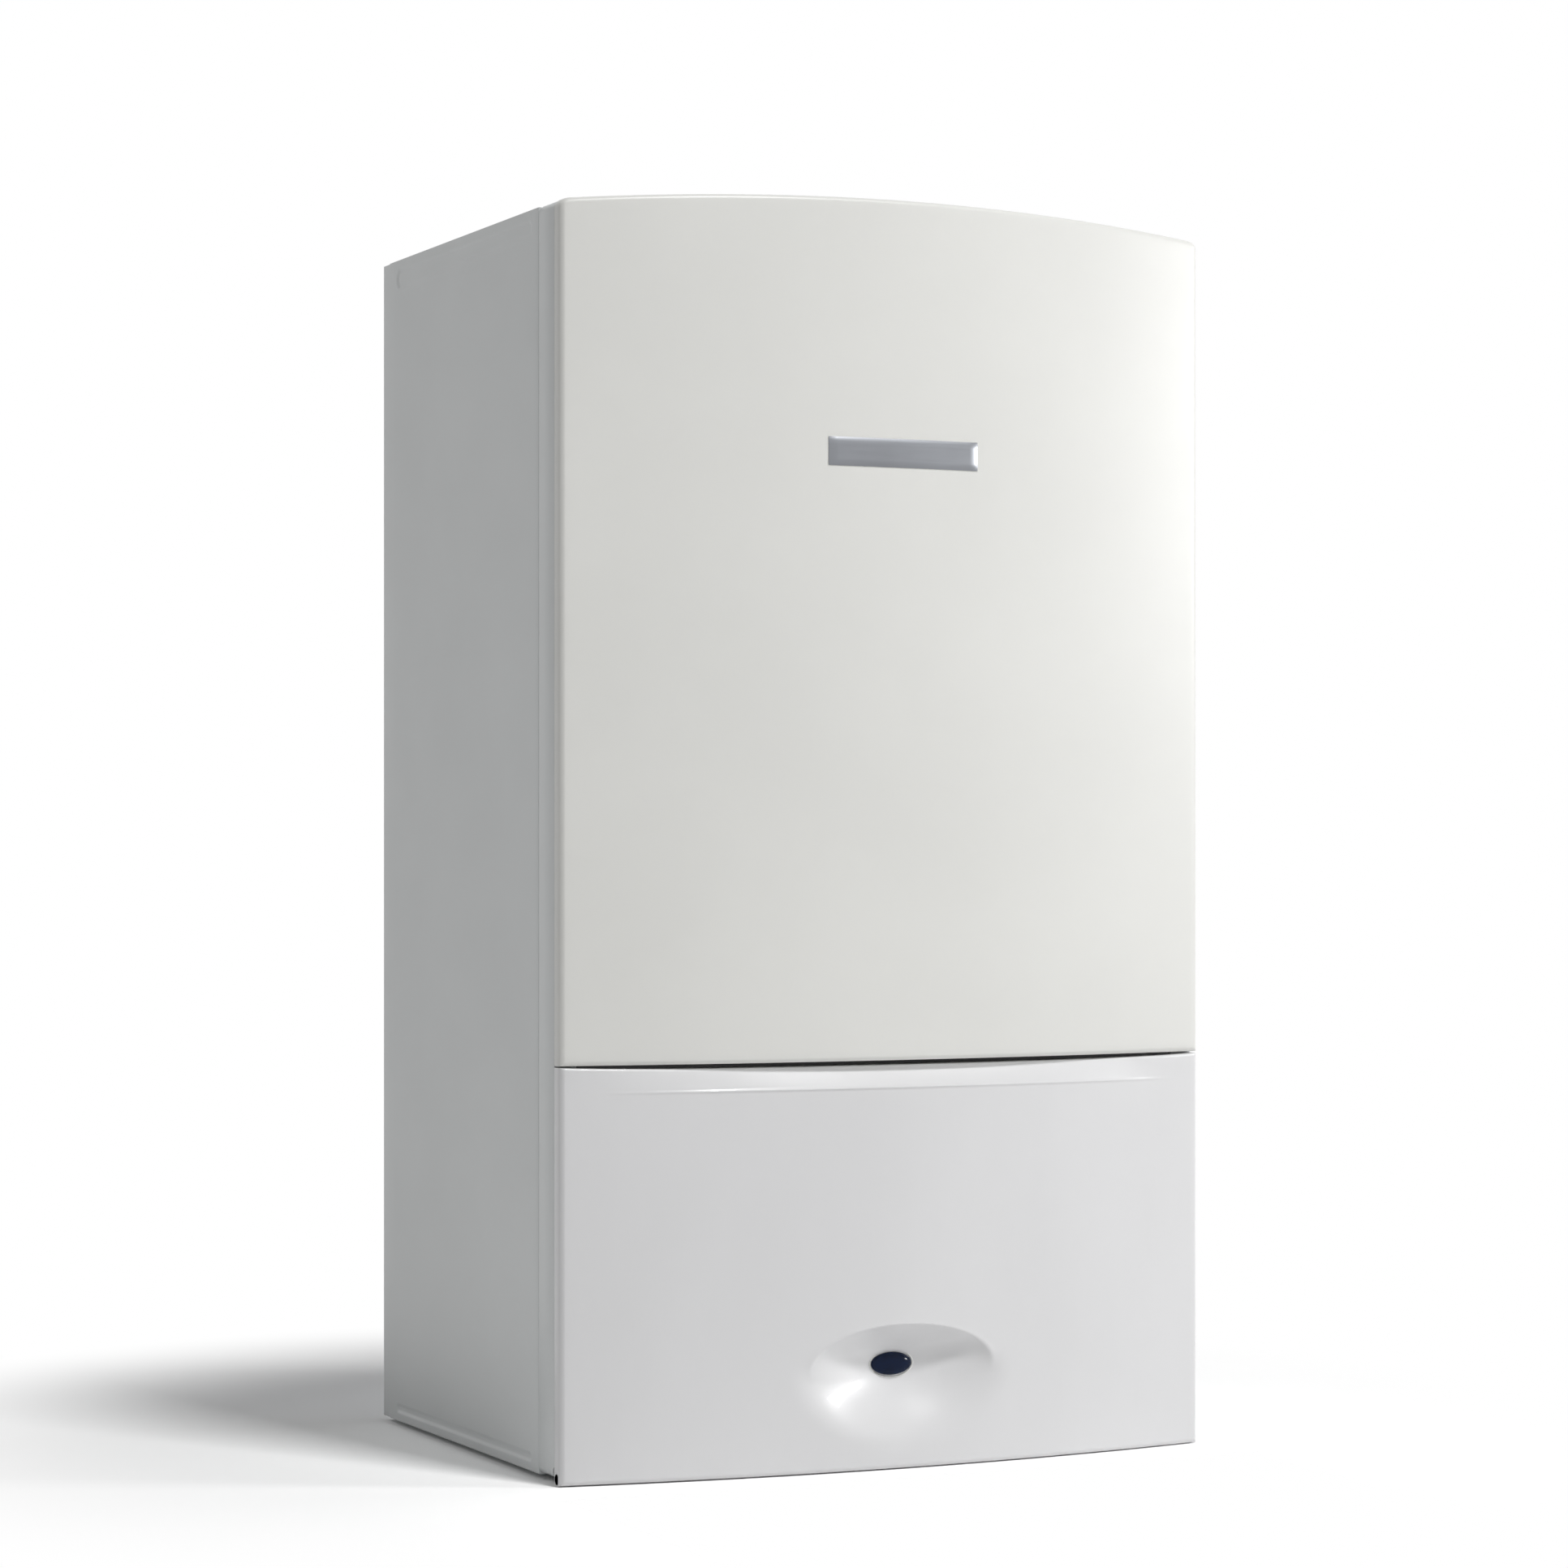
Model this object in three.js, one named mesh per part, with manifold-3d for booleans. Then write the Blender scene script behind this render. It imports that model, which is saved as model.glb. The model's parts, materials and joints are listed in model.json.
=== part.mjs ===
// Wall-hung combi boiler: a steel casing with a bowed front cover, a hinged flap over a
// fold-down control box, and the burner, water and gas parts that the casing holds.
// Millimetres. X runs to the viewer's right, Y to the wall and Z up. The origin lies under
// the middle of the boiler, on the plane of its lowest edges.
import * as THREE from 'three';
import { mergeVertices } from 'three/addons/utils/BufferGeometryUtils.js';
import Module from 'manifold-3d';

const wasm = await Module();
wasm.setup();

// ---- Driving dimensions of the casing ----
const WIDTH = 400; // over the side panels
const HEIGHT = 710; // lowest edge to the crown of the cover's arched top
const DEPTH = 330; // wall face to the face of the badge bar
const CROWN = 9; // rise of the cover's top edge over its corners
const BOW = 18; // how far the front bows out past its corners
const COVER_RETURN = 8.3; // depth of the cover's and the flap's side walls
const FRAME_DEPTH = 23; // front frame, seen between the cover and the side panel
const WALL_GAP = 18.8; // depth of the hanging rail behind the casing
const SPLIT_HEIGHT = 227.1; // middle of the joint between cover and flap
const SPLIT_GAP = 2.8; // width of that joint
const TOP_STEP = 1; // the frame stands this much higher than the top panel
const SKIRT = 2.5; // the side panels end this much above the flap's lower edge
const CORNER_RADIUS = 5; // cover and frame corners, seen from the front
const EDGE_RADIUS = 3; // rounding of the cover's and the flap's front edges

// ---- Walls and fits ----
const SHEET = 1.2; // folded steel sheet
const COVER_WALL = 1.5; // deep-drawn front cover
const MOULDED = 2.5; // moulded plastic wall
const FIT = 0.3; // gap between pieces that fit together
const FLANGE = 12; // width of a folded flange

// ---- Side panel pressings ----
const BEAD_DEPTH = 1;
const BEAD_HEIGHT = 7; // upper bead
const LOW_BEAD_HEIGHT = 4;
const BEAD_TAPER = 4; // the upper bead grows this much taller towards the wall
const BEAD_EDGE = 6; // distance from the panel's upper or lower edge
const BEAD_START = 12; // distance behind the panel's front edge
const BEAD_END = 14; // distance before the rear band
const REAR_BAND = 14; // set-back band along the panel's rear edge

// ---- Flap ----
const CREASE_DROP = 12.2; // crease below the flap's top edge
const CREASE_HALF = 171; // half the crease's length
const SCOOP_DEPTH = 8; // finger scoop between the crease and the top edge
const DISH_HEIGHT = 57; // centre of the indicator dish
const DISH_DEPTH = 18;
const DISH_HALF_WIDTH = 57;
const DISH_HALF_HEIGHT = 24;
const LENS_WIDTH = 25;
const LENS_HEIGHT = 13;
const LENS_DOME = 3.5;
const LENS_RING = 1.5; // width of the ring round the lens
const BADGE_LENGTH = 93;
const BADGE_WIDTH = 16;
const BADGE_THICKNESS = 1.2;
const BADGE_HEIGHT = 568; // centre of the badge bar
const HINGE_RADIUS = 3.3; // rounded lower rear edge of the flap, round the hinge line
const HINGE_PIN_RADIUS = 1.2;
const BOX_ARM_WIDTH = 14; // hinge arms of the control box
const BOX_ARM_OFFSET = 150; // right and left of the middle
const CASE_ARM_WIDTH = 5; // hinge arms of the front frame, outside the control box

// ---- Control box ----
const BOX_SIDE = 17; // control box inside the casing's outer width
const BOX_BOTTOM = 10;
const BOX_DROP = 20.7; // top of the control box below the flap's top edge
const BOX_DEPTH = 76; // fascia face to the tray's rear wall
const FASCIA_SETBACK = 2.5; // fascia face behind the front of the frame
const FASCIA_THICKNESS = 3;
const KNOB_RADIUS = 21;
const KNOB_LENGTH = 13;
const KNOB_OFFSET = 90;
const KNOB_HEIGHT = 118;
const UPPER_ROW_DROP = 40; // gauge, display and mains switch, below the box's top
const GAUGE_RADIUS = 19;
const UPPER_ROW_EDGE = 33; // gauge and switch from the box's sides
const DISPLAY_WIDTH = 90;
const DISPLAY_HEIGHT = 36;
const SWITCH_WIDTH = 20;
const SWITCH_HEIGHT = 28;
const BUTTON_WIDTH = 16;
const BUTTON_HEIGHT = 9;
const BUTTON_PITCH = 26;
const BUTTON_ROW_HEIGHT = 108;

// ---- Burner side ----
const DRUM_RADIUS = 105; // heat exchanger drum, lying front to back
const DRUM_LENGTH = 150;
const DRUM_X = -30;
const DRUM_SHARE = 9 / 14; // height of the drum's centre as a share of the casing's
const DRUM_RIBS = 4; // coils that show through the jacket
const DRUM_WALL = 14; // coil and jacket together
const BURNER_RADIUS = 35; // cylinder burner on the door
const BURNER_LENGTH = 85;
const VESSEL_RADIUS = 165; // flat expansion vessel behind the drum
const VESSEL_DEPTH = 64;
const VESSEL_WALL = 1.5;
const VESSEL_PORT = 5; // radius of its water connection
const RAIL_HEIGHT = 40; // rail that carries the drum
const RAIL_THICKNESS = 6;
const DOOR_RADIUS = 98;
const DOOR_DOME_RADIUS = 60;
const DOOR_DOME_DEPTH = 44;
const FAN_RADIUS = 56;
const FAN_WIDTH = 50;
const FAN_X = 120;
const FAN_ROOM = 114.4; // from the fan's middle back to the drum's rail
const FAN_DROP = 105; // fan centre below the drum's centre
const FAN_BLADES = 11;
const FLUE_RADIUS = 30; // inner flue duct
const AIR_RADIUS = 50; // outer air pipe
const FLUE_Y = 30;
const DUCT_RADIUS = 20;

// ---- Water side ----
const TAIL_EDGE = 70; // outer pipe connections from the casing's sides
const TAIL_SETBACK = 78.7; // pipe connections behind the control box
const TAIL_RADIUS = 11;
const GAS_TAIL_RADIUS = 9;
const BASE_RISE = 24; // base plate above the lowest edges
const BLOCK_HEIGHT = 50;
const BLOCK_DEPTH = 60;
const BLOCK_LENGTH = 122;
const PIPE_RADIUS = 9;
const PUMP_RADIUS = 42;
const TRAP_RADIUS = 22;
const TRAP_GAP = 2.7; // between the trap and the control box
const EXCHANGER_WIDTH = 80;
const EXCHANGER_HEIGHT = 180;
const EXCHANGER_DEPTH = 60;

// ---- Places that follow from the sizes above ----
const HALF = WIDTH / 2;
const WALL_Y = DEPTH / 2;
const APEX_Y = -DEPTH / 2 + BADGE_THICKNESS;
const CORNER_Y = APEX_Y + BOW;
const COVER_BACK = CORNER_Y + COVER_RETURN;
const FRAME_FRONT = COVER_BACK + FIT;
const FRAME_BACK = COVER_BACK + FRAME_DEPTH;
const SIDE_FRONT = FRAME_BACK + FIT;
const CASE_BACK = WALL_Y - WALL_GAP;
const CORNER_TOP = HEIGHT - CROWN;
const CASE_TOP = CORNER_TOP - TOP_STEP;
const COVER_BOTTOM = SPLIT_HEIGHT + SPLIT_GAP / 2;
const FLAP_TOP = SPLIT_HEIGHT - SPLIT_GAP / 2;
const FASCIA_FRONT = FRAME_FRONT + FASCIA_SETBACK;
const TRAY_FRONT = FASCIA_FRONT + FASCIA_THICKNESS + FIT;
const BOX_BACK = FASCIA_FRONT + BOX_DEPTH;
const BOX_HALF_WIDTH = HALF - BOX_SIDE;
const BOX_TOP = FLAP_TOP - BOX_DROP;
const UPPER_ROW_HEIGHT = BOX_TOP - UPPER_ROW_DROP;
const GAUGE_OFFSET = BOX_HALF_WIDTH - UPPER_ROW_EDGE;
const TAIL_PITCH = (HALF - TAIL_EDGE) / 2;
const TAIL_Y = BOX_BACK + TAIL_SETBACK;
const TRAP_Y = BOX_BACK + TRAP_RADIUS + TRAP_GAP;
const DRUM_Z = CASE_TOP * DRUM_SHARE;
const BACK_INNER = CASE_BACK - SHEET;
const VESSEL_FRONT = BACK_INNER - FIT - VESSEL_DEPTH;
const RAIL_FRONT = VESSEL_FRONT - FIT - RAIL_THICKNESS;
const DRUM_BACK = RAIL_FRONT - FIT;
const DRUM_FRONT = DRUM_BACK - DRUM_LENGTH;
const FAN_Z = DRUM_Z - FAN_DROP;
const FAN_Y = RAIL_FRONT - FAN_ROOM;
const FAN_BACK = FAN_Y + FAN_WIDTH / 2;
const FAN_FRONT = FAN_BACK - FAN_WIDTH;
const BLOCK_BOTTOM = BASE_RISE + 22;
const BLOCK_TOP = BLOCK_BOTTOM + BLOCK_HEIGHT;
const BLOCK_FRONT = TAIL_Y - BLOCK_DEPTH / 2;
const BLOCK_BACK = TAIL_Y + BLOCK_DEPTH / 2;
const HINGE_Y = COVER_BACK - HINGE_RADIUS; // one hinge line carries the flap and the box

// ---- Solids from three.js geometry ----

// Turns closed geometry into a solid. Faces that run inside out are turned round first.
function solid(geometry) {
  const bare = geometry.clone();
  for (const attribute of ['normal', 'uv']) bare.deleteAttribute(attribute);
  const merged = mergeVertices(bare, 1e-4);
  const points = merged.attributes.position.array;
  const corners = [];
  for (let i = 0; i < merged.index.count; i += 3) {
    const [a, b, c] = [0, 1, 2].map((k) => merged.index.array[i + k]);
    if (a !== b && b !== c && c !== a) corners.push(a, b, c);
  }
  if (signedVolume(points, corners) < 0) corners.reverse();
  return new wasm.Manifold(new wasm.Mesh({
    numProp: 3,
    vertProperties: new Float32Array(points),
    triVerts: new Uint32Array(corners),
  }));
}

function signedVolume(points, corners) {
  const at = (i) => new THREE.Vector3().fromArray(points, corners[i] * 3);
  let volume = 0;
  for (let i = 0; i < corners.length; i += 3) {
    volume += at(i).dot(at(i + 1).cross(at(i + 2))) / 6;
  }
  return volume;
}

function geometryOf(body) {
  const mesh = body.getMesh();
  const geometry = new THREE.BufferGeometry();
  geometry.setAttribute('position', new THREE.BufferAttribute(mesh.vertProperties, 3));
  geometry.setIndex(new THREE.BufferAttribute(mesh.triVerts, 1));
  geometry.computeVertexNormals();
  return geometry;
}

function join(...bodies) {
  return bodies.reduce((sum, body) => sum.add(body));
}

function cut(body, ...tools) {
  return tools.reduce((rest, tool) => rest.subtract(tool), body);
}

function mirrored(body) {
  return solid(geometryOf(body).scale(-1, 1, 1));
}

// Two values of an axis, the smaller one first.
function span(a, b) {
  return a < b ? [a, b] : [b, a];
}

// A block between two values on each axis.
function block([x0, x1], [y0, y1], [z0, z1]) {
  const geometry = new THREE.BoxGeometry(x1 - x0, y1 - y0, z1 - z0);
  return solid(geometry.translate((x0 + x1) / 2, (y0 + y1) / 2, (z0 + z1) / 2));
}

// Lays a shape's plane across an axis: x takes the shape's (u, v) as (y, z), y takes it as
// (x, z) and z takes it as (x, y). The body runs along the axis from one value to another.
function extruded(shape, axis, from, to, curveSegments = 4) {
  const options = { depth: to - from, bevelEnabled: false, curveSegments };
  const geometry = new THREE.ExtrudeGeometry(shape, options);
  const [x, y, z] = [[1, 0, 0], [0, 1, 0], [0, 0, 1]].map((v) => new THREE.Vector3(...v));
  const turn = new THREE.Matrix4();
  if (axis === 'x') turn.makeBasis(y, z, x).setPosition(from, 0, 0);
  if (axis === 'y') turn.makeBasis(x, z, y.clone().negate()).setPosition(0, to, 0);
  if (axis === 'z') turn.makeBasis(x, y, z).setPosition(0, 0, from);
  return solid(geometry.applyMatrix4(turn));
}

function rounded([u0, u1], [v0, v1], radius) {
  const shape = new THREE.Shape();
  const quarter = Math.PI / 2;
  shape.absarc(u1 - radius, v0 + radius, radius, -quarter, 0);
  shape.absarc(u1 - radius, v1 - radius, radius, 0, quarter);
  shape.absarc(u0 + radius, v1 - radius, radius, quarter, 2 * quarter);
  shape.absarc(u0 + radius, v0 + radius, radius, 2 * quarter, 3 * quarter);
  shape.closePath();
  return shape;
}

function oval(u, v, halfWidth, halfHeight) {
  return new THREE.Shape().absellipse(u, v, halfWidth, halfHeight, 0, 2 * Math.PI);
}

// A profile of [radius, place along the axis] pairs, turned round an axis through a point.
function turned(axis, profile, centre, sides = 12) {
  const points = profile.map(([radius, along]) => new THREE.Vector2(radius, along));
  const geometry = new THREE.LatheGeometry(points, sides);
  if (axis === 'x') geometry.rotateZ(-Math.PI / 2);
  if (axis === 'z') geometry.rotateX(Math.PI / 2);
  return solid(geometry.translate(...centre));
}

// A round bar along an axis. Its centre gives the two other coordinates.
function rod(axis, radius, from, to, centre, sides = 12) {
  const profile = [[0, from], [radius, from], [radius, to], [0, to]];
  return turned(axis, profile, centre, sides);
}

// A round hole through the same kind of place. Its flats stay outside the stated radius.
function bore(axis, radius, from, to, centre, sides = 12) {
  return rod(axis, radius / Math.cos(Math.PI / sides), from, to, centre, sides);
}

// A path of straight runs and short chords, with one ring of a tube at each of its points.
class Route extends THREE.Curve {
  constructor(points) {
    super();
    this.points = points;
  }

  getPoint(t, target = new THREE.Vector3()) {
    const place = t * (this.points.length - 1);
    const i = Math.min(Math.floor(place), this.points.length - 2);
    return target.lerpVectors(this.points[i], this.points[i + 1], place - i);
  }

  getPointAt(u, target) {
    return this.getPoint(u, target);
  }

  getTangentAt(u, target) {
    return this.getTangent(u, target);
  }
}

// A bent pipe through corner points, with the same bend at each inner corner.
function pipe(radius, bend, corners, sides = 8) {
  const at = corners.map((corner) => new THREE.Vector3(...corner));
  const points = [at[0]];
  for (let i = 1; i < at.length - 1; i += 1) {
    const before = at[i].clone().add(at[i - 1].clone().sub(at[i]).setLength(bend));
    const after = at[i].clone().add(at[i + 1].clone().sub(at[i]).setLength(bend));
    points.push(...new THREE.QuadraticBezierCurve3(before, at[i], after).getPoints(3));
  }
  points.push(at.at(-1));
  const ring = new THREE.Shape().absarc(0, 0, radius, 0, 2 * Math.PI);
  const steps = points.length - 1;
  const options = { steps, extrudePath: new Route(points), curveSegments: sides / 2 };
  return solid(new THREE.ExtrudeGeometry(ring, options));
}

// ---- Scene graph ----
const FINISHES = {
  coverPaint: [0xefece4, 0.42, 0],
  casePaint: [0xe4e6e8, 0.4, 0],
  flapPlastic: [0xf1f2f3, 0.22, 0],
  greyPlastic: [0x8d9297, 0.5, 0],
  darkPlastic: [0x2b2e33, 0.45, 0],
  blackPlastic: [0x17181b, 0.4, 0],
  whitePlastic: [0xf4f4f2, 0.35, 0],
  navyLens: [0x0c1630, 0.08, 0],
  clear: [0xb9c6cc, 0.05, 0],
  chrome: [0xd6d8da, 0.14, 1],
  galvanised: [0xa9adb0, 0.42, 0.9],
  stainless: [0xc4c6c7, 0.3, 1],
  castAluminium: [0xa5a8aa, 0.5, 0.9],
  brass: [0xb8923f, 0.3, 1],
  copper: [0xb87345, 0.3, 1],
  vesselPaint: [0x8e2320, 0.5, 0],
  boardGreen: [0x1f5a3a, 0.5, 0],
  pointerRed: [0xb3221c, 0.5, 0],
};

function piece(parent, name, body, finish, place = [0, 0, 0]) {
  const [color, roughness, metalness] = FINISHES[finish];
  const material = new THREE.MeshStandardMaterial({ color, roughness, metalness });
  const mesh = new THREE.Mesh(geometryOf(body), material);
  mesh.name = name;
  mesh.position.set(...place);
  parent.add(mesh);
  return mesh;
}

// ---- Bowed fronts: the cover above the joint and the flap below it ----

function bowY(x) {
  return APEX_Y + BOW * (x / HALF) ** 2;
}

// How far a rounded edge falls back at a distance from the outline.
function edgeFall(distance, radius) {
  const inside = Math.max(0, radius - distance);
  return radius - Math.sqrt(Math.max(0, radius ** 2 - inside ** 2));
}

// Steps from an outline inwards, close together over the rounded edge.
function edgeSteps() {
  return [0, 0.15, 1].map((share) => share * EDGE_RADIUS);
}

// Closes a grid of front points, column by column, with a flat back.
function gridSolid(grid, back) {
  const positions = [];
  const face = (...points) => {
    for (let i = 1; i < points.length - 1; i += 1) {
      positions.push(...points[0], ...points[i], ...points[i + 1]);
    }
  };
  const behind = ([x, , z]) => [x, back, z];
  for (let i = 0; i < grid.length - 1; i += 1) {
    const [left, right] = [grid[i], grid[i + 1]];
    for (let j = 0; j < left.length - 1; j += 1) {
      face(left[j], right[j], right[j + 1], left[j + 1]);
    }
    face(behind(left[0]), behind(right[0]), right[0], left[0]);
    face(left.at(-1), right.at(-1), behind(right.at(-1)), behind(left.at(-1)));
    face(behind(right[0]), behind(left[0]), behind(left.at(-1)), behind(right.at(-1)));
  }
  const [first, last] = [grid[0], grid.at(-1)];
  face(behind(first[0]), ...first, behind(first.at(-1)));
  face(behind(last.at(-1)), ...last.toReversed(), behind(last[0]));
  const geometry = new THREE.BufferGeometry();
  geometry.setAttribute('position', new THREE.Float32BufferAttribute(positions, 3));
  return solid(geometry);
}

// The space in front of a back plane, under the bowed face set in from the outer one.
function bowedSolid({ inset, bottom, top, steps, rows, relief, back }) {
  const half = HALF - inset;
  const radius = Math.max(EDGE_RADIUS - inset, 0.6);
  const border = [...edgeSteps(), CORNER_RADIUS];
  const inner = Array.from({ length: steps + 1 }, (_, i) => (2 * i) / steps - 1);
  const middle = half - 2 * CORNER_RADIUS;
  const columns = [
    ...border.map((step) => step - half),
    ...inner.map((share) => share * middle),
    ...border.map((step) => half - step).reverse(),
  ];
  const grid = columns.map((x) => {
    const low = bottom + inset;
    const high = top(x) - inset;
    return rows(low, high).map((z) => {
      const edge = Math.min(half - Math.abs(x), z - low, high - z);
      return [x, bowY(x) + inset + edgeFall(edge, radius) + relief(x, z), z];
    });
  });
  return gridSolid(grid, back);
}

// A shell of even wall, open to the back.
function bowedShell(wall, form) {
  const outer = bowedSolid({ ...form, inset: 0, back: COVER_BACK });
  const inner = bowedSolid({ ...form, inset: wall, back: COVER_BACK + wall });
  return { outer, inner };
}

function coverTop(x) {
  const corner = edgeFall(HALF - Math.abs(x), CORNER_RADIUS);
  return HEIGHT - CROWN * (x / HALF) ** 2 - corner;
}

function coverRows(low, high) {
  const steps = edgeSteps();
  return [...steps.map((step) => low + step), ...steps.map((step) => high - step).reverse()];
}

const COVER_PEG = { radius: 3, reach: 8, upperX: 120, drop: 6.5, tab: 16, rise: 12 };

// Places of the cover's locating pegs, upper pair and lower pair.
function pegPlaces() {
  const upper = CORNER_TOP - COVER_PEG.drop;
  const lower = COVER_BOTTOM + COVER_PEG.rise;
  const sideX = HALF - COVER_PEG.drop;
  return [[-COVER_PEG.upperX, upper], [COVER_PEG.upperX, upper], [-sideX, lower], [sideX, lower]];
}

function coverPeg([x, z]) {
  const { radius, reach, tab } = COVER_PEG;
  const back = COVER_BACK - FIT;
  const side = Math.abs(x) > COVER_PEG.upperX;
  const wall = Math.sign(x) * (HALF - COVER_WALL / 2);
  const xs = side ? span(wall, x - Math.sign(x) * radius) : [x - tab / 2, x + tab / 2];
  const roof = coverTop(x) - COVER_WALL / 2;
  const zs = side ? [z - tab / 2, z + tab / 2] : [z - radius - 2, roof];
  return join(
    block(xs, [back - 3, back], zs),
    rod('y', radius, back - 1, COVER_BACK + reach, [x, 0, z], 10),
  );
}

function frontCover() {
  const form = { bottom: COVER_BOTTOM, top: coverTop, steps: 10, rows: coverRows, relief: () => 0 };
  const { outer, inner } = bowedShell(COVER_WALL, form);
  return join(cut(outer, inner), ...pegPlaces().map(coverPeg));
}

// The plain badge bar is glued to the cover and follows its bow.
function badgeBar() {
  const glue = FIT / 3;
  const stations = Array.from({ length: 9 }, (_, i) => (i / 4 - 1) * (BADGE_LENGTH / 2));
  const front = stations.map((x) => new THREE.Vector2(x, bowY(x) - BADGE_THICKNESS));
  const back = stations.toReversed().map((x) => new THREE.Vector2(x, bowY(x) - glue));
  const shape = new THREE.Shape([...front, ...back]);
  return extruded(shape, 'z', BADGE_HEIGHT - BADGE_WIDTH / 2, BADGE_HEIGHT + BADGE_WIDTH / 2);
}

const FRAME_LEG = FLANGE + 1;
const HINGE_LINE = [0, HINGE_Y, HINGE_RADIUS];
const EYE_RADIUS = HINGE_RADIUS - FIT;

function boxArms() {
  return [-BOX_ARM_OFFSET, BOX_ARM_OFFSET].map((x) => ({ x, width: BOX_ARM_WIDTH }));
}

function caseArms() {
  const x = HALF - FRAME_LEG + CASE_ARM_WIDTH / 2;
  return [-x, x].map((place) => ({ x: place, width: CASE_ARM_WIDTH }));
}

// Arm that holds the hinge pin in an eye, with the bars that lead to the eye.
function hingeArm({ x, width }, bars) {
  const xs = [x - width / 2, x + width / 2];
  const eye = join(rod('x', EYE_RADIUS, ...xs, HINGE_LINE, 12), ...bars.map((bar) => block(xs, ...bar)));
  const pinHole = bore('x', HINGE_PIN_RADIUS + FIT, xs[0] - 1, xs[1] + 1, HINGE_LINE, 8);
  return cut(eye, pinHole);
}

function creaseZ() {
  return FLAP_TOP - CREASE_DROP;
}

// The band above the crease falls back to leave room for fingers under the cover.
function scoopRelief(x, z) {
  const rise = Math.max(0, z - creaseZ()) / CREASE_DROP;
  const taper = Math.max(0, 1 - (x / CREASE_HALF) ** 2);
  return SCOOP_DEPTH * taper * rise ** 1.5;
}

function flapRows(low, high) {
  const steps = edgeSteps();
  const scoop = [0, 0.3, 0.6].map((share) => creaseZ() + share * (CREASE_DROP - EDGE_RADIUS));
  return [
    ...steps.map((step) => low + step),
    ...scoop,
    ...steps.map((step) => high - step).reverse(),
  ];
}

// Half of a stretched ball, pressed into the flap round the indicator lens.
function dishBowl(grow, sides = 20) {
  const ahead = DISH_DEPTH / 3;
  const reach = DISH_DEPTH + ahead;
  const spread = 1 / Math.sqrt(1 - (ahead / reach) ** 2);
  const geometry = new THREE.SphereGeometry(1, sides, sides / 2).rotateX(Math.PI / 2);
  geometry.scale(DISH_HALF_WIDTH * spread + grow, reach + grow, DISH_HALF_HEIGHT * spread + grow);
  return solid(geometry.translate(0, APEX_Y - ahead, DISH_HEIGHT));
}

function lensOval(grow) {
  return oval(0, DISH_HEIGHT, LENS_WIDTH / 2 + grow, LENS_HEIGHT / 2 + grow);
}

// Gap in the flap's rear edge for a hinge arm, with the pin that crosses it.
function hingeNotch({ x, width }) {
  const half = width / 2 + FIT;
  const reach = HINGE_RADIUS + FIT;
  return {
    gap: block([x - half, x + half], [HINGE_Y - reach, COVER_BACK + 1], [-1, 2 * reach]),
    pin: rod('x', HINGE_PIN_RADIUS, x - half - 1, x + half + 1, HINGE_LINE, 8),
  };
}

function controlFlap() {
  const form = { bottom: 0, top: () => FLAP_TOP, steps: 10, rows: flapRows, relief: scoopRelief };
  const { outer, inner } = bowedShell(MOULDED, form);
  const hollow = cut(inner, dishBowl(MOULDED, 12));
  const lensHole = extruded(lensOval(LENS_RING + 2 * FIT), 'y', APEX_Y, COVER_BACK, 8);
  const corner = block([-WIDTH, WIDTH], [HINGE_Y, WALL_Y], [-1, HINGE_RADIUS]);
  const shell = cut(outer, dishBowl(0), hollow, lensHole, corner);
  const barrel = rod('x', HINGE_RADIUS, -HALF, HALF, HINGE_LINE);
  const notches = [...boxArms(), ...caseArms()].map(hingeNotch);
  const open = cut(join(shell, barrel), ...notches.map(({ gap }) => gap));
  return join(open, ...notches.map(({ pin }) => pin));
}

const DISH_FLOOR = APEX_Y + DISH_DEPTH;

function lensRing() {
  const seat = DISH_FLOOR + MOULDED + FIT;
  const lip = extruded(lensOval(LENS_RING + FIT), 'y', DISH_FLOOR - 1.5, seat + 1, 8);
  const flange = extruded(lensOval(LENS_RING + 2), 'y', seat, seat + 1.5, 8);
  const bore = extruded(lensOval(FIT), 'y', APEX_Y, COVER_BACK, 8);
  return cut(join(lip, flange), bore);
}

function indicatorLens() {
  const face = DISH_FLOOR - 1.5;
  const stem = extruded(lensOval(0), 'y', face, DISH_FLOOR + MOULDED + 1.5, 8);
  const dome = new THREE.SphereGeometry(1, 16, 6).scale(LENS_WIDTH / 2, LENS_DOME, LENS_HEIGHT / 2);
  return join(stem, solid(dome.translate(0, face, DISH_HEIGHT)));
}

// ---- Casing ----

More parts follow.
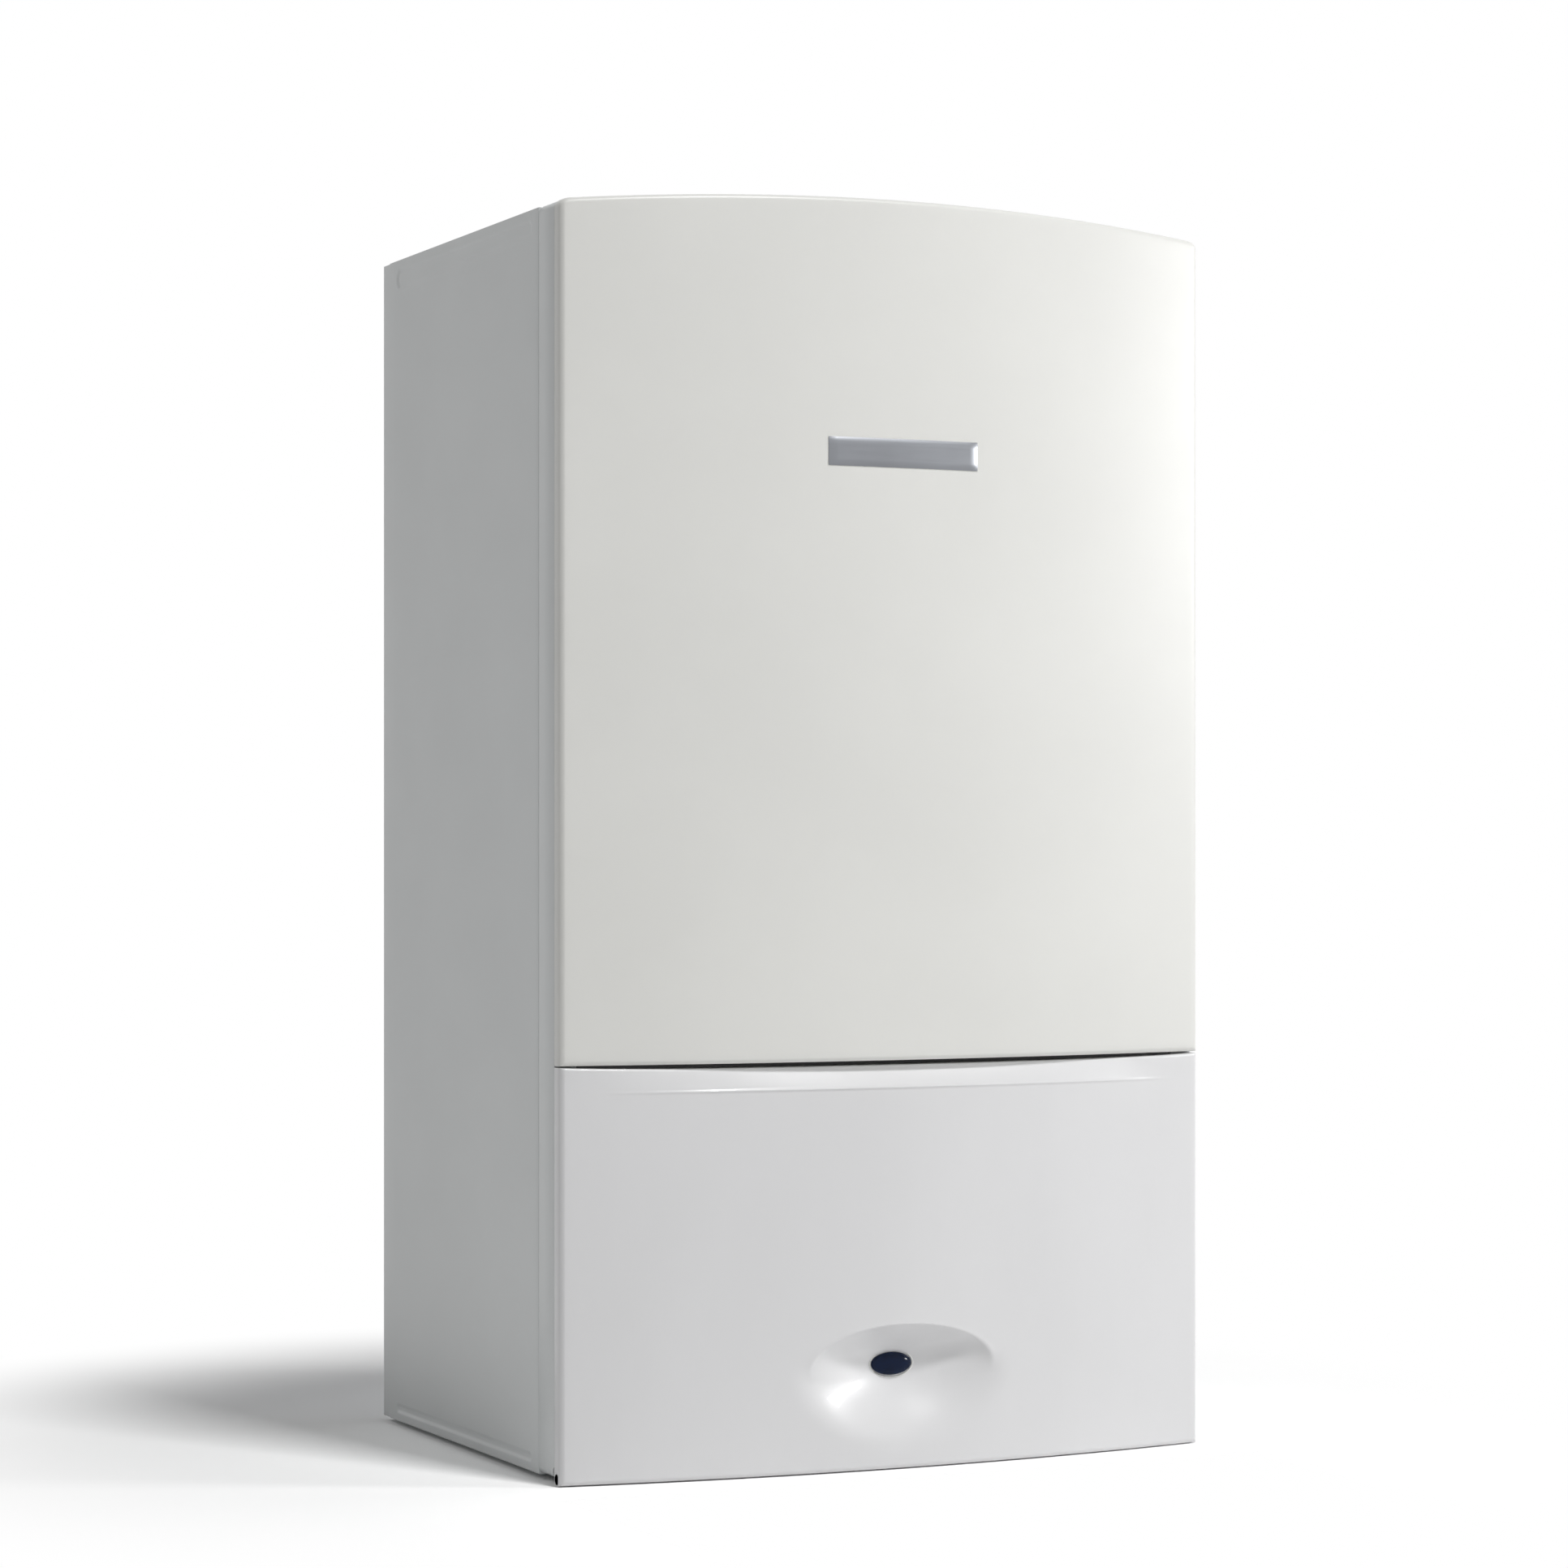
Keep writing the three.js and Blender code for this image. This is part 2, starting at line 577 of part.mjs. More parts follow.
// Three-sided frame behind the cover: a channel open to the inside, with two arms that
// hang in front of its legs and hold the ends of the hinge line.
function frontFrame() {
  const leg = FRAME_LEG;
  const inside = HALF - leg;
  const low = SKIRT + 0.5;
  const outline = rounded([-HALF, HALF], [low, CORNER_TOP], CORNER_RADIUS);
  const bar = extruded(outline, 'y', FRAME_FRONT, FRAME_BACK);
  const opening = block([-inside, inside], [-WIDTH, WIDTH], [-1, CORNER_TOP - leg]);
  const gutter = [FRAME_FRONT + MOULDED, FRAME_BACK - MOULDED];
  const channel = block(
    [MOULDED - HALF, HALF - MOULDED], gutter, [low + MOULDED, CORNER_TOP - MOULDED],
  );
  const swing = HINGE_Y - bowY(inside) + FIT; // the flap's lower edge passes under the legs
  const way = rod('x', swing, -HALF - 1, HALF + 1, HINGE_LINE, 14);
  const rootLow = HINGE_RADIUS + swing;
  const armTop = rootLow + FLANGE / 2;
  const bars = [
    [[HINGE_Y - EYE_RADIUS, HINGE_Y + EYE_RADIUS], [HINGE_RADIUS, armTop]],
    [[HINGE_Y, FRAME_FRONT + 1], [rootLow, armTop]],
  ];
  const arms = caseArms().map((arm) => hingeArm(arm, bars));
  const pegHoles = pegPlaces().map(([x, z]) => (
    bore('y', COVER_PEG.radius + FIT, FRAME_FRONT - 1, gutter[0] + 1, [x, 0, z], 10)
  ));
  return join(cut(bar, opening, channel, way, ...pegHoles), ...arms);
}

function beadShape(z0, z1, taper, grow) {
  const front = SIDE_FRONT + BEAD_START - grow;
  const back = CASE_BACK - REAR_BAND - BEAD_END + grow;
  const radius = (z1 - z0) / 2 + grow;
  const middle = (z0 + z1) / 2;
  const shape = new THREE.Shape();
  shape.absarc(front + radius, middle, radius, Math.PI / 2, 1.5 * Math.PI);
  shape.lineTo(back - radius, middle - radius - taper);
  shape.absarc(back - radius, middle - taper / 2, radius + taper / 2, -Math.PI / 2, Math.PI / 2);
  shape.closePath();
  return shape;
}

// Each bead is pressed inwards: a groove outside and a ridge of the same depth inside.
function pressBead(panel, z0, z1, taper) {
  const ridge = extruded(beadShape(z0, z1, taper, 0.6), 'x', HALF - SHEET - BEAD_DEPTH, HALF - SHEET, 3);
  const groove = extruded(beadShape(z0, z1, taper, 0), 'x', HALF - BEAD_DEPTH, HALF + 1, 3);
  return cut(join(panel, ridge), groove);
}

function sidePanel() {
  const ys = [SIDE_FRONT, CASE_BACK];
  const web = block([HALF - SHEET, HALF], ys, [SKIRT, CASE_TOP]);
  const flangeX = [HALF - FLANGE, HALF];
  const flangeZ = [SKIRT + FLANGE, CASE_TOP - FLANGE];
  const front = block(flangeX, [SIDE_FRONT, SIDE_FRONT + SHEET], flangeZ);
  const rear = block(flangeX, [CASE_BACK - SHEET, CASE_BACK], flangeZ);
  const foot = block([HALF - FLANGE, HALF], [ys[0] + FLANGE, ys[1] - FLANGE], [SKIRT, SKIRT + SHEET]);
  const bandFront = CASE_BACK - REAR_BAND;
  const bandInside = block([HALF - SHEET - BEAD_DEPTH, HALF], [bandFront, CASE_BACK], flangeZ);
  const bandOutside = block([HALF - BEAD_DEPTH, HALF + 1], [bandFront, CASE_BACK + 1], flangeZ);
  const folded = cut(join(web, front, rear, foot, bandInside), bandOutside);
  const upper = CASE_TOP - BEAD_EDGE;
  const lower = SKIRT + BEAD_EDGE;
  const once = pressBead(folded, upper - BEAD_HEIGHT, upper, BEAD_TAPER);
  return pressBead(once, lower, lower + LOW_BEAD_HEIGHT, 0);
}

function topPanel() {
  const half = HALF - SHEET - FIT;
  const ys = [SIDE_FRONT, CASE_BACK - SHEET - FIT];
  const sheet = block([-half, half], ys, [CASE_TOP - SHEET, CASE_TOP]);
  const lips = [-1, 1].map((side) => {
    const xs = span(side * half, side * (half - SHEET));
    return block(xs, [ys[0] + FLANGE, ys[1] - REAR_BAND - FLANGE], [CASE_TOP - BEAD_EDGE + SHEET, CASE_TOP]);
  });
  const hole = bore('z', AIR_RADIUS + FIT, CASE_TOP - FLANGE, CASE_TOP + 1, [0, FLUE_Y, 0], 18);
  return cut(join(sheet, ...lips), hole);
}

const HOOK = { offset: 100, width: 40, drop: 75, thickness: 2, rise: 16 };

function backPanel() {
  const half = HALF - FLANGE - FIT;
  const zs = [SKIRT + 2, CASE_TOP - 2 * SHEET];
  const sheet = block([-half, half], [BACK_INNER, CASE_BACK], zs);
  const lips = [-1, 1].map((side) => {
    const xs = span(side * half, side * (half - SHEET));
    return block(xs, [BACK_INNER - FLANGE, CASE_BACK], zs);
  });
  const slots = [-1, 1].map((side) => {
    const x = side * HOOK.offset;
    const z = CASE_TOP - HOOK.drop;
    const reach = HOOK.width / 2 + 1;
    return block([x - reach, x + reach], [BACK_INNER - 1, CASE_BACK + 1], [z - 4, z + HOOK.rise + 4]);
  });
  return cut(join(sheet, ...lips), ...slots);
}

// Hat-shaped rail screwed to the wall. Its two hooks reach through slots in the back panel.
function hangingRail() {
  const half = HOOK.offset + HOOK.width;
  const top = CASE_TOP - HOOK.drop - HOOK.thickness;
  const wall = block([-half, half], [WALL_Y - 2, WALL_Y], [top - 60, top + 20]);
  const web = block([-half, half], [CASE_BACK, WALL_Y], [top - 2, top]);
  const front = block([-half, half], [CASE_BACK, CASE_BACK + 2], [top - 40, top]);
  const hooks = [-1, 1].flatMap((side) => {
    const xs = [-1, 1].map((end) => side * HOOK.offset + (end * HOOK.width) / 2);
    const inside = BACK_INNER - HOOK.thickness - 1;
    const rise = top + HOOK.thickness;
    return [
      block(xs, [inside, CASE_BACK + 2], [top - 2, rise]),
      block(xs, [inside, inside + HOOK.thickness], [top - 2, rise + HOOK.rise]),
    ];
  });
  return join(wall, web, front, ...hooks);
}

function wallSpacer() {
  const half = HALF - 4 * FLANGE;
  const outer = block([-half, half], [CASE_BACK, WALL_Y], [40, 64]);
  const hollow = block([-half - 1, half + 1], [CASE_BACK + 2, WALL_Y - 2], [42, 65]);
  return cut(outer, hollow);
}

function tailPlaces() {
  return [-2, -1, 0, 1, 2].map((step) => step * TAIL_PITCH);
}

function basePlate() {
  const half = HALF - SHEET - FIT;
  const front = BOX_BACK + 8;
  const back = CASE_BACK - REAR_BAND - SHEET;
  const zs = [BASE_RISE, BASE_RISE + SHEET];
  const sheet = block([-half, half], [front, back], zs);
  const footHalf = HALF - FLANGE - FIT - SHEET;
  const feet = [[front, front + SHEET], [back - SHEET, back]].map((ys) => (
    block([-footHalf, footHalf], ys, [0, BASE_RISE + SHEET])
  ));
  const holes = tailPlaces().map((x) => (
    bore('z', TAIL_RADIUS + 1, BASE_RISE - 1, BASE_RISE + 3, [x, TAIL_Y, 0])
  ));
  return cut(join(sheet, ...feet), ...holes);
}

// Outer air pipe socket on the top panel, with the clamping flange round it.
function flueCollar() {
  const low = CASE_TOP + FIT;
  const high = HEIGHT - TOP_STEP;
  const profile = [
    [AIR_RADIUS, low], [AIR_RADIUS + 20, low], [AIR_RADIUS + 20, low + 2],
    [AIR_RADIUS + 4, low + 3], [AIR_RADIUS + 4, high], [AIR_RADIUS, high], [AIR_RADIUS, low],
  ];
  return turned('z', profile, [0, FLUE_Y, 0], 18);
}

// ---- Burner side ----

const NECK_TOP = DRUM_Z + DRUM_RADIUS + 12; // flue neck of the drum
const RAIL_CLEARANCE = 5; // round the expansion vessel

// Rail across the casing between the drum and the expansion vessel.
function drumRail() {
  const half = VESSEL_RADIUS + RAIL_CLEARANCE + RAIL_THICKNESS;
  const zs = [DRUM_Z - RAIL_HEIGHT / 2, DRUM_Z + RAIL_HEIGHT / 2];
  const web = block([-half, half], [RAIL_FRONT, RAIL_FRONT + RAIL_THICKNESS], zs);
  const arms = [-1, 1].map((side) => {
    const xs = span(side * half, side * (half - RAIL_THICKNESS));
    return block(xs, [RAIL_FRONT, BACK_INNER - FIT], zs);
  });
  return join(web, ...arms);
}

const DRUM_GROOVE = { depth: 4, half: 5 };
const DRUM_CHAMFER = { length: 8, depth: 12 };
const SPIGOT = { offset: 50, drop: 4, drainDrop: 8, wall: 3, drainWall: 1 };

// Drum of coiled tube under a stainless jacket: the coils show as ribs.
function heatExchanger() {
  const pitch = DRUM_LENGTH / (DRUM_RIBS + 1);
  const { depth, half } = DRUM_GROOVE;
  const ribs = Array.from({ length: DRUM_RIBS }, (_, i) => DRUM_FRONT + pitch * (i + 1)).flatMap(
    (y) => [[DRUM_RADIUS, y - half], [DRUM_RADIUS - depth, y], [DRUM_RADIUS, y + half]],
  );
  const profile = [
    [0, DRUM_FRONT], [DRUM_RADIUS, DRUM_FRONT], ...ribs,
    [DRUM_RADIUS, DRUM_BACK - DRUM_CHAMFER.length],
    [DRUM_RADIUS - DRUM_CHAMFER.depth, DRUM_BACK], [0, DRUM_BACK],
  ];
  const drum = turned('y', profile, [DRUM_X, 0, DRUM_Z], 16);
  const neck = rod('z', FLUE_RADIUS, DRUM_Z, NECK_TOP, [0, FLUE_Y, 0]);
  const spigots = [flowSpigot(), returnSpigot()].map(({ x, z }) => (
    rod('z', PIPE_RADIUS + SPIGOT.wall, z, DRUM_Z, [x, TAIL_Y, 0], 10)
  ));
  const { x: drainX, y: drainY, z: drainLow } = hoseSpigot();
  const drain = rod('z', PIPE_RADIUS + SPIGOT.drainWall, drainLow, DRUM_Z, [drainX, drainY, 0], 10);
  const chamber = rod(
    'y', DRUM_RADIUS - DRUM_WALL, DRUM_FRONT - 1, DRUM_BACK - DRUM_WALL, [DRUM_X, 0, DRUM_Z], 16,
  );
  const flueWay = rod('z', FLUE_RADIUS - 4, DRUM_Z, NECK_TOP + 1, [0, FLUE_Y, 0]);
  return cut(join(drum, neck, ...spigots, drain), chamber, flueWay);
}

function flowSpigot() {
  return { x: DRUM_X - SPIGOT.offset, z: DRUM_Z - DRUM_RADIUS - SPIGOT.drop };
}

function returnSpigot() {
  return { x: DRUM_X + SPIGOT.offset, z: DRUM_Z - DRUM_RADIUS - SPIGOT.drop };
}

function hoseSpigot() {
  return { x: DRUM_X, y: TRAP_Y, z: DRUM_Z - DRUM_RADIUS - SPIGOT.drainDrop };
}

const DOOR_THICKNESS = 6;
const DOOR_BACK = DRUM_FRONT - FIT;
const DOOR_FACE = DOOR_BACK - DOOR_THICKNESS;
const DUCT_Y = DOOR_FACE - DOOR_DOME_DEPTH / 2;
const DUCT_END = DRUM_X + DOOR_DOME_RADIUS + 6;

function burnerDoor() {
  const dome = DOOR_FACE - DOOR_DOME_DEPTH;
  const profile = [
    [0, DOOR_BACK], [DOOR_RADIUS, DOOR_BACK], [DOOR_RADIUS, DOOR_FACE],
    [DOOR_DOME_RADIUS + 6, DOOR_FACE], [DOOR_DOME_RADIUS - 4, dome + 5],
    [DOOR_DOME_RADIUS - 10, dome], [0, dome],
  ];
  const disc = turned('y', profile, [DRUM_X, 0, DRUM_Z], 16);
  const throat = DUCT_RADIUS - 4;
  const inlet = rod('x', throat, DRUM_X, DUCT_END, [0, DUCT_Y, DRUM_Z], 14);
  const burner = rod('y', BURNER_RADIUS, DOOR_BACK - 1, DOOR_BACK + BURNER_LENGTH, [DRUM_X, 0, DRUM_Z], 14);
  return cut(join(disc, inlet, burner), electrodeHole());
}

function electrodePlace() {
  return [DRUM_X - DOOR_RADIUS * 0.6, 0, DRUM_Z - DOOR_RADIUS * 0.55];
}

function electrodeHole() {
  return bore('y', 4 + FIT, DOOR_FACE - 1, DOOR_BACK + 1, electrodePlace(), 12);
}

function ignitionElectrode() {
  const profile = [
    [0, DOOR_BACK - 1], [4, DOOR_BACK - 1], [4, DOOR_FACE - FIT], [7, DOOR_FACE - FIT],
    [7, DOOR_FACE - 3], [4, DOOR_FACE - 4], [4, DOOR_FACE - 22], [2, DOOR_FACE - 24], [0, DOOR_FACE - 24],
  ];
  return turned('y', profile, electrodePlace(), 12);
}

const FAN_WALL = 4;
const FAN_NECK_TOP = FAN_Z + FAN_RADIUS + 14;

// Volute of the fan, with its outlet neck up to the gas-air duct.
function fanHousing() {
  const drum = rod('y', FAN_RADIUS, FAN_FRONT, FAN_BACK, [FAN_X, 0, FAN_Z], 16);
  const neckX = [FAN_X + FAN_RADIUS - 2 * DUCT_RADIUS, FAN_X + FAN_RADIUS];
  const neck = block(neckX, [FAN_FRONT, FAN_BACK], [FAN_Z, FAN_NECK_TOP]);
  const inside = [FAN_FRONT + FAN_WALL, FAN_BACK - FAN_WALL];
  const chamber = rod('y', FAN_RADIUS - FAN_WALL, ...inside, [FAN_X, 0, FAN_Z], 16);
  const throat = block([neckX[0] + FAN_WALL, neckX[1] - FAN_WALL], inside, [FAN_Z, FAN_NECK_TOP + 1]);
  const eye = bore('y', FLUE_RADIUS - 8, inside[1] - 1, FAN_BACK + 1, [FAN_X, 0, FAN_Z]);
  const shaftHole = bore('y', 4, FAN_FRONT - 1, inside[0] + 1, [FAN_X, 0, FAN_Z], 10);
  return cut(join(drum, neck), chamber, throat, eye, shaftHole);
}

// Backward-curved wheel on the motor's shaft, modelled about its own axis.
function fanImpeller() {
  const radius = FAN_RADIUS - 8;
  const depth = FAN_WIDTH - 14;
  const hub = [[0, -8], [3.5, -8], [3.5, -3], [8, -2], [8, 0], [radius, 0], [radius, 1.5], [0, 1.5]];
  const disc = turned('y', hub, [0, 0, 0], 14);
  const blades = Array.from({ length: FAN_BLADES }, (_, i) => {
    const turn = (2 * Math.PI * i) / FAN_BLADES;
    const shape = new THREE.Shape();
    shape.moveTo(radius * 0.5, 0);
    shape.quadraticCurveTo(radius * 0.8, 2, radius * 0.98, radius * 0.3);
    shape.lineTo(radius * 0.94, radius * 0.34);
    shape.quadraticCurveTo(radius * 0.74, 6, radius * 0.5, 2);
    const points = shape.getPoints(2).map((p) => p.rotateAround(new THREE.Vector2(), turn));
    return extruded(new THREE.Shape(points), 'y', 1, depth);
  });
  return join(disc, ...blades);
}

// Round motor with a mounting rim at its rear face and a tapered nose.
function roundMotor({ radius, body, nose, rim, length }, face, centre) {
  const profile = [
    [0, face], [radius, face], [radius, face - rim], [body, face - rim - 2],
    [body, face - length + 4], [nose, face - length], [0, face - length],
  ];
  return turned('y', profile, centre, 16);
}

function fanMotor() {
  const form = { radius: 34, body: 28, nose: 24, rim: 4, length: 38 };
  return roundMotor(form, FAN_FRONT - FIT, [FAN_X, 0, FAN_Z]);
}

// Cast elbow from the fan's neck round to the burner door's inlet.
function gasAirDuct() {
  const x = FAN_X + FAN_RADIUS - DUCT_RADIUS;
  const y = (FAN_FRONT + FAN_BACK) / 2;
  const start = FAN_NECK_TOP + FIT;
  const end = DUCT_END + FIT;
  const route = [[x, y, start], [x, y, DRUM_Z], [x, DUCT_Y, DRUM_Z], [end, DUCT_Y, DRUM_Z]];
  const elbow = pipe(DUCT_RADIUS, 30, route, 10);
  const flange = block([x - 26, x + 26], [FAN_FRONT, FAN_BACK], [start, start + 6]);
  return join(elbow, flange);
}

const MIXER_LENGTH = 40;
const GAS_SPIGOT = { y: FAN_BACK + FIT + MIXER_LENGTH / 2, low: FAN_Z - 34 };

// Venturi on the fan's eye: air comes from the tube above, gas through the side spigot.
function gasAirMixer() {
  const start = FAN_BACK + FIT;
  const end = start + MIXER_LENGTH;
  const profile = [
    [14, start], [28, start], [28, start + 4], [20, start + 8], [17, start + 22], [22, end - 4],
    [22, end], [18, end], [11, GAS_SPIGOT.y], [14, start],
  ];
  const body = turned('y', profile, [FAN_X, 0, FAN_Z]);
  const spigot = rod('z', 7, GAS_SPIGOT.low, FAN_Z - 14, [FAN_X, GAS_SPIGOT.y, 0], 10);
  return join(body, spigot);
}

function airIntakeTube() {
  const y = FAN_BACK + MIXER_LENGTH + 2 * FIT;
  const top = CASE_TOP - 50;
  const radius = 21;
  const bend = [[FAN_X, y, FAN_Z], [FAN_X, y + 26, FAN_Z], [FAN_X + 30, y + 26, FAN_Z + 90]];
  return pipe(radius, 20, [...bend, [FAN_X + 38, y + 20, top]], 10);
}

const VALVE = { half: 28, height: 50, gap: 10, y: FAN_Y + 22.5, reach: 10 };
const VALVE_INLET_Y = VALVE.y - 4.5;
const VALVE_TOP = FAN_Z - FAN_RADIUS - VALVE.gap;
const VALVE_MIDDLE = VALVE_TOP - VALVE.height / 2;
const VALVE_INLET_X = FAN_X - VALVE.half - 10;

function gasValve() {
  const { half, height, y, reach } = VALVE;
  const low = VALVE_TOP - height;
  const body = block([FAN_X - half, FAN_X + half], [y - half, y + half], [low, VALVE_TOP]);
  const coils = [-1, 1].map((side) => (
    rod('y', 11, y - half - reach, y - half + 1, [FAN_X + side * 14, 0, VALVE_MIDDLE], 12)
  ));
  const inletCentre = [0, VALVE_INLET_Y, VALVE_MIDDLE];
  const inlet = rod('x', GAS_TAIL_RADIUS + 3, VALVE_INLET_X, FAN_X, inletCentre, 12);
  return join(body, ...coils, inlet);
}

// Small pipe from the valve's outlet to the mixer's gas spigot.
function gasInjectorPipe() {
  return rod('z', 5, VALVE_TOP + FIT, GAS_SPIGOT.low - FIT, [FAN_X, GAS_SPIGOT.y, 0], 10);
}

function gasPipe() {
  const turn = VALVE_MIDDLE - 44;
  const route = [
    [0, TAIL_Y, BLOCK_BOTTOM], [0, TAIL_Y, turn],
    [0, VALVE_INLET_Y, VALVE_MIDDLE], [VALVE_INLET_X - FIT, VALVE_INLET_Y, VALVE_MIDDLE],
  ];
  return pipe(GAS_TAIL_RADIUS, 18, route, 10);
}

function flueDuct() {
  const low = NECK_TOP + FIT;
  const high = HEIGHT - TOP_STEP;
  const inner = FLUE_RADIUS - 1.5;
  const profile = [
    [inner, low], [FLUE_RADIUS + 3, low], [FLUE_RADIUS + 3, low + 14], [FLUE_RADIUS, low + 16],
    [FLUE_RADIUS, high], [inner, high], [inner, low],
  ];
  return turned('z', profile, [0, FLUE_Y, 0], 14);
}

// Two pressed dishes joined at a rim, set in by the given wall for the hollow.
function vesselSolid(wall) {
  const rim = VESSEL_FRONT + VESSEL_DEPTH / 2;
  const half = VESSEL_DEPTH / 2 - wall;
  const radius = VESSEL_RADIUS - wall;
  const arch = [[0, half], [0.6 * radius, half - 1], [0.9 * radius, half - 10], [radius - 3, 6], [radius, 2]];
  const profile = [
    ...arch.map(([r, y]) => [r, rim - y]),
    ...arch.toReversed().map(([r, y]) => [r, rim + y]),
  ];
  return turned('y', profile, [0, 0, DRUM_Z], 16);
}

function expansionVessel() {
  const low = DRUM_Z - VESSEL_RADIUS;
  const middle = [0, VESSEL_FRONT + VESSEL_DEPTH / 2, 0];
  const nipple = rod('z', VESSEL_PORT + 4, low - 12, low + 10, middle, 10);
  const port = rod('z', VESSEL_PORT, low - 13, low + 20, middle, 10);
  return cut(join(vesselSolid(0), nipple), vesselSolid(VESSEL_WALL), port);
}

// ---- Water side ----

function connectionTail(x, radius) {
  const nut = radius + 5;
  const profile = [
    [radius - 2, SKIRT + 1], [radius, SKIRT + 1], [radius, BASE_RISE + 4], [nut, BASE_RISE + 5],
    [nut, BLOCK_BOTTOM - 4], [radius, BLOCK_BOTTOM - FIT], [radius - 2, BLOCK_BOTTOM - FIT],
    [radius - 2, SKIRT + 1],
  ];
  return turned('z', profile, [x, TAIL_Y, 0], 10);
}

function blockSpan(side) {
  const middle = side * TAIL_PITCH * 1.5;
  return [middle - BLOCK_LENGTH / 2, middle + BLOCK_LENGTH / 2];
}

const BOSS = { radius: 13, reach: 8, z: BLOCK_BOTTOM + 18 };

function waterBlock(side) {
  const shape = rounded(blockSpan(side), [BLOCK_FRONT, BLOCK_BACK], 10);
  const body = extruded(shape, 'z', BLOCK_BOTTOM, BLOCK_TOP, 3);
  const bosses = [1, 2].map((step) => (
    rod('y', BOSS.radius, BLOCK_FRONT - BOSS.reach, BLOCK_FRONT + 1, [side * step * TAIL_PITCH, 0, BOSS.z])
  ));
  return join(body, ...bosses);
}

const PUMP_Z = BLOCK_TOP + PUMP_RADIUS - 4;
const PUMP_X = 1.5 * TAIL_PITCH;
const PUMP_HALF_DEPTH = 22;
const PUMP_OUTLET_TOP = PUMP_Z + PUMP_RADIUS + 8;

// Return block with the pump's volute cast onto it.
function returnBlock() {
  const ys = [TAIL_Y - PUMP_HALF_DEPTH, TAIL_Y + PUMP_HALF_DEPTH];
  const volute = rod('y', PUMP_RADIUS, ...ys, [PUMP_X, 0, PUMP_Z], 16);
  const outlet = rod('z', PIPE_RADIUS + 4, PUMP_Z, PUMP_OUTLET_TOP, [PUMP_X, TAIL_Y, 0], 10);
  return join(waterBlock(1), volute, outlet);
}

function pumpMotor() {
  const form = { radius: 38, body: 33, nose: 28, rim: 6, length: 52 };
  return roundMotor(form, TAIL_Y - PUMP_HALF_DEPTH - FIT, [PUMP_X, 0, PUMP_Z]);
}

function flowBlock() {
  const seat = bore('z', 12 + FIT, BLOCK_TOP - 10, BLOCK_TOP + 1, [-TAIL_PITCH, TAIL_Y, 0], 10);
  const ventSeat = bore('z', 7 + FIT, BLOCK_TOP - 20, BLOCK_TOP + 1, [VENT_X, TAIL_Y, 0], 10);
  return cut(waterBlock(-1), seat, ventSeat);
}

// Motor head of the valve that sends hot water to the radiators or to the plates.
function diverterActuator() {
  const profile = [
    [0, BLOCK_TOP - 9], [12, BLOCK_TOP - 9], [12, BLOCK_TOP + 8], [22, BLOCK_TOP + 10],
    [22, BLOCK_TOP + 50], [18, BLOCK_TOP + 54], [0, BLOCK_TOP + 54],
  ];
  return turned('z', profile, [-TAIL_PITCH, TAIL_Y, 0], 14);
}

const VENT_X = -1.6 * TAIL_PITCH;

function airVent() {
  const profile = [
    [0, BLOCK_TOP - 19], [7, BLOCK_TOP - 19], [7, BLOCK_TOP + 6], [10, BLOCK_TOP + 8],
    [10, BLOCK_TOP + 40], [4, BLOCK_TOP + 46], [4, BLOCK_TOP + 52], [0, BLOCK_TOP + 52],
  ];
  return turned('z', profile, [VENT_X, TAIL_Y, 0], 10);
}

// Stacked plates with a seam between each two.
function plateExchanger() {
  const [left] = blockSpan(-1);
  const xs = [left + 8, left + 8 + EXCHANGER_WIDTH];
  const front = BLOCK_BACK + FIT;
  const zs = [BLOCK_BOTTOM, BLOCK_BOTTOM + EXCHANGER_HEIGHT];
  const pitch = EXCHANGER_DEPTH / 5;
  const end = front + EXCHANGER_DEPTH - 0.4 * pitch;
  const inner = rounded([xs[0] + 2, xs[1] - 2], [zs[0] + 2, zs[1] - 2], 10);
  const core = extruded(inner, 'y', front, end, 1);
  const plates = Array.from({ length: 5 }, (_, i) => (
    extruded(rounded(xs, zs, 12), 'y', front + pitch * i, front + pitch * (i + 0.6), 1)
  ));
  return join(core, ...plates);
}

function trapPlace() {
  return [-2 * TAIL_PITCH - 32, TRAP_Y, 0];
}

// Condensate trap with the hose up to the drum's drain.
function condensateTrap() {
  const low = BASE_RISE + 8;
  const top = BLOCK_TOP + 120;
  const profile = [
    [0, low], [TRAP_RADIUS - 5, low], [TRAP_RADIUS - 3, low + 20], [TRAP_RADIUS, low + 24],
    [TRAP_RADIUS, top - 8], [TRAP_RADIUS - 8, top], [0, top],
  ];
  const [x, y] = trapPlace();
  const { x: drainX, z: drainZ } = hoseSpigot();
  const turn = (top + drainZ) / 2;
  const route = [[x, y, top - 4], [x, y, turn], [drainX, y, turn + 20], [drainX, y, drainZ - FIT]];
  return join(turned('z', profile, [x, y, 0]), pipe(PIPE_RADIUS + 1, 18, route, 10));
}

function flowPipe() {
  const { x, z } = flowSpigot();
  const end = -2 * TAIL_PITCH;
  const turn = (z + BLOCK_TOP) / 2 + 40;
  const route = [
    [x, TAIL_Y, z - FIT], [x, TAIL_Y, turn + 20],
    [end, TAIL_Y, turn - 20], [end, TAIL_Y, BLOCK_TOP + FIT],
  ];
  return pipe(PIPE_RADIUS, 20, route, 10);
}

function returnPipe() {
  const { x, z } = returnSpigot();
  const start = PUMP_OUTLET_TOP + FIT;
  const turn = start + 22;
  const route = [
    [PUMP_X, TAIL_Y, start], [PUMP_X, TAIL_Y, turn],
    [x, TAIL_Y, turn + 20], [x, TAIL_Y, z - FIT],
  ];
  return pipe(PIPE_RADIUS, 16, route, 10);
}

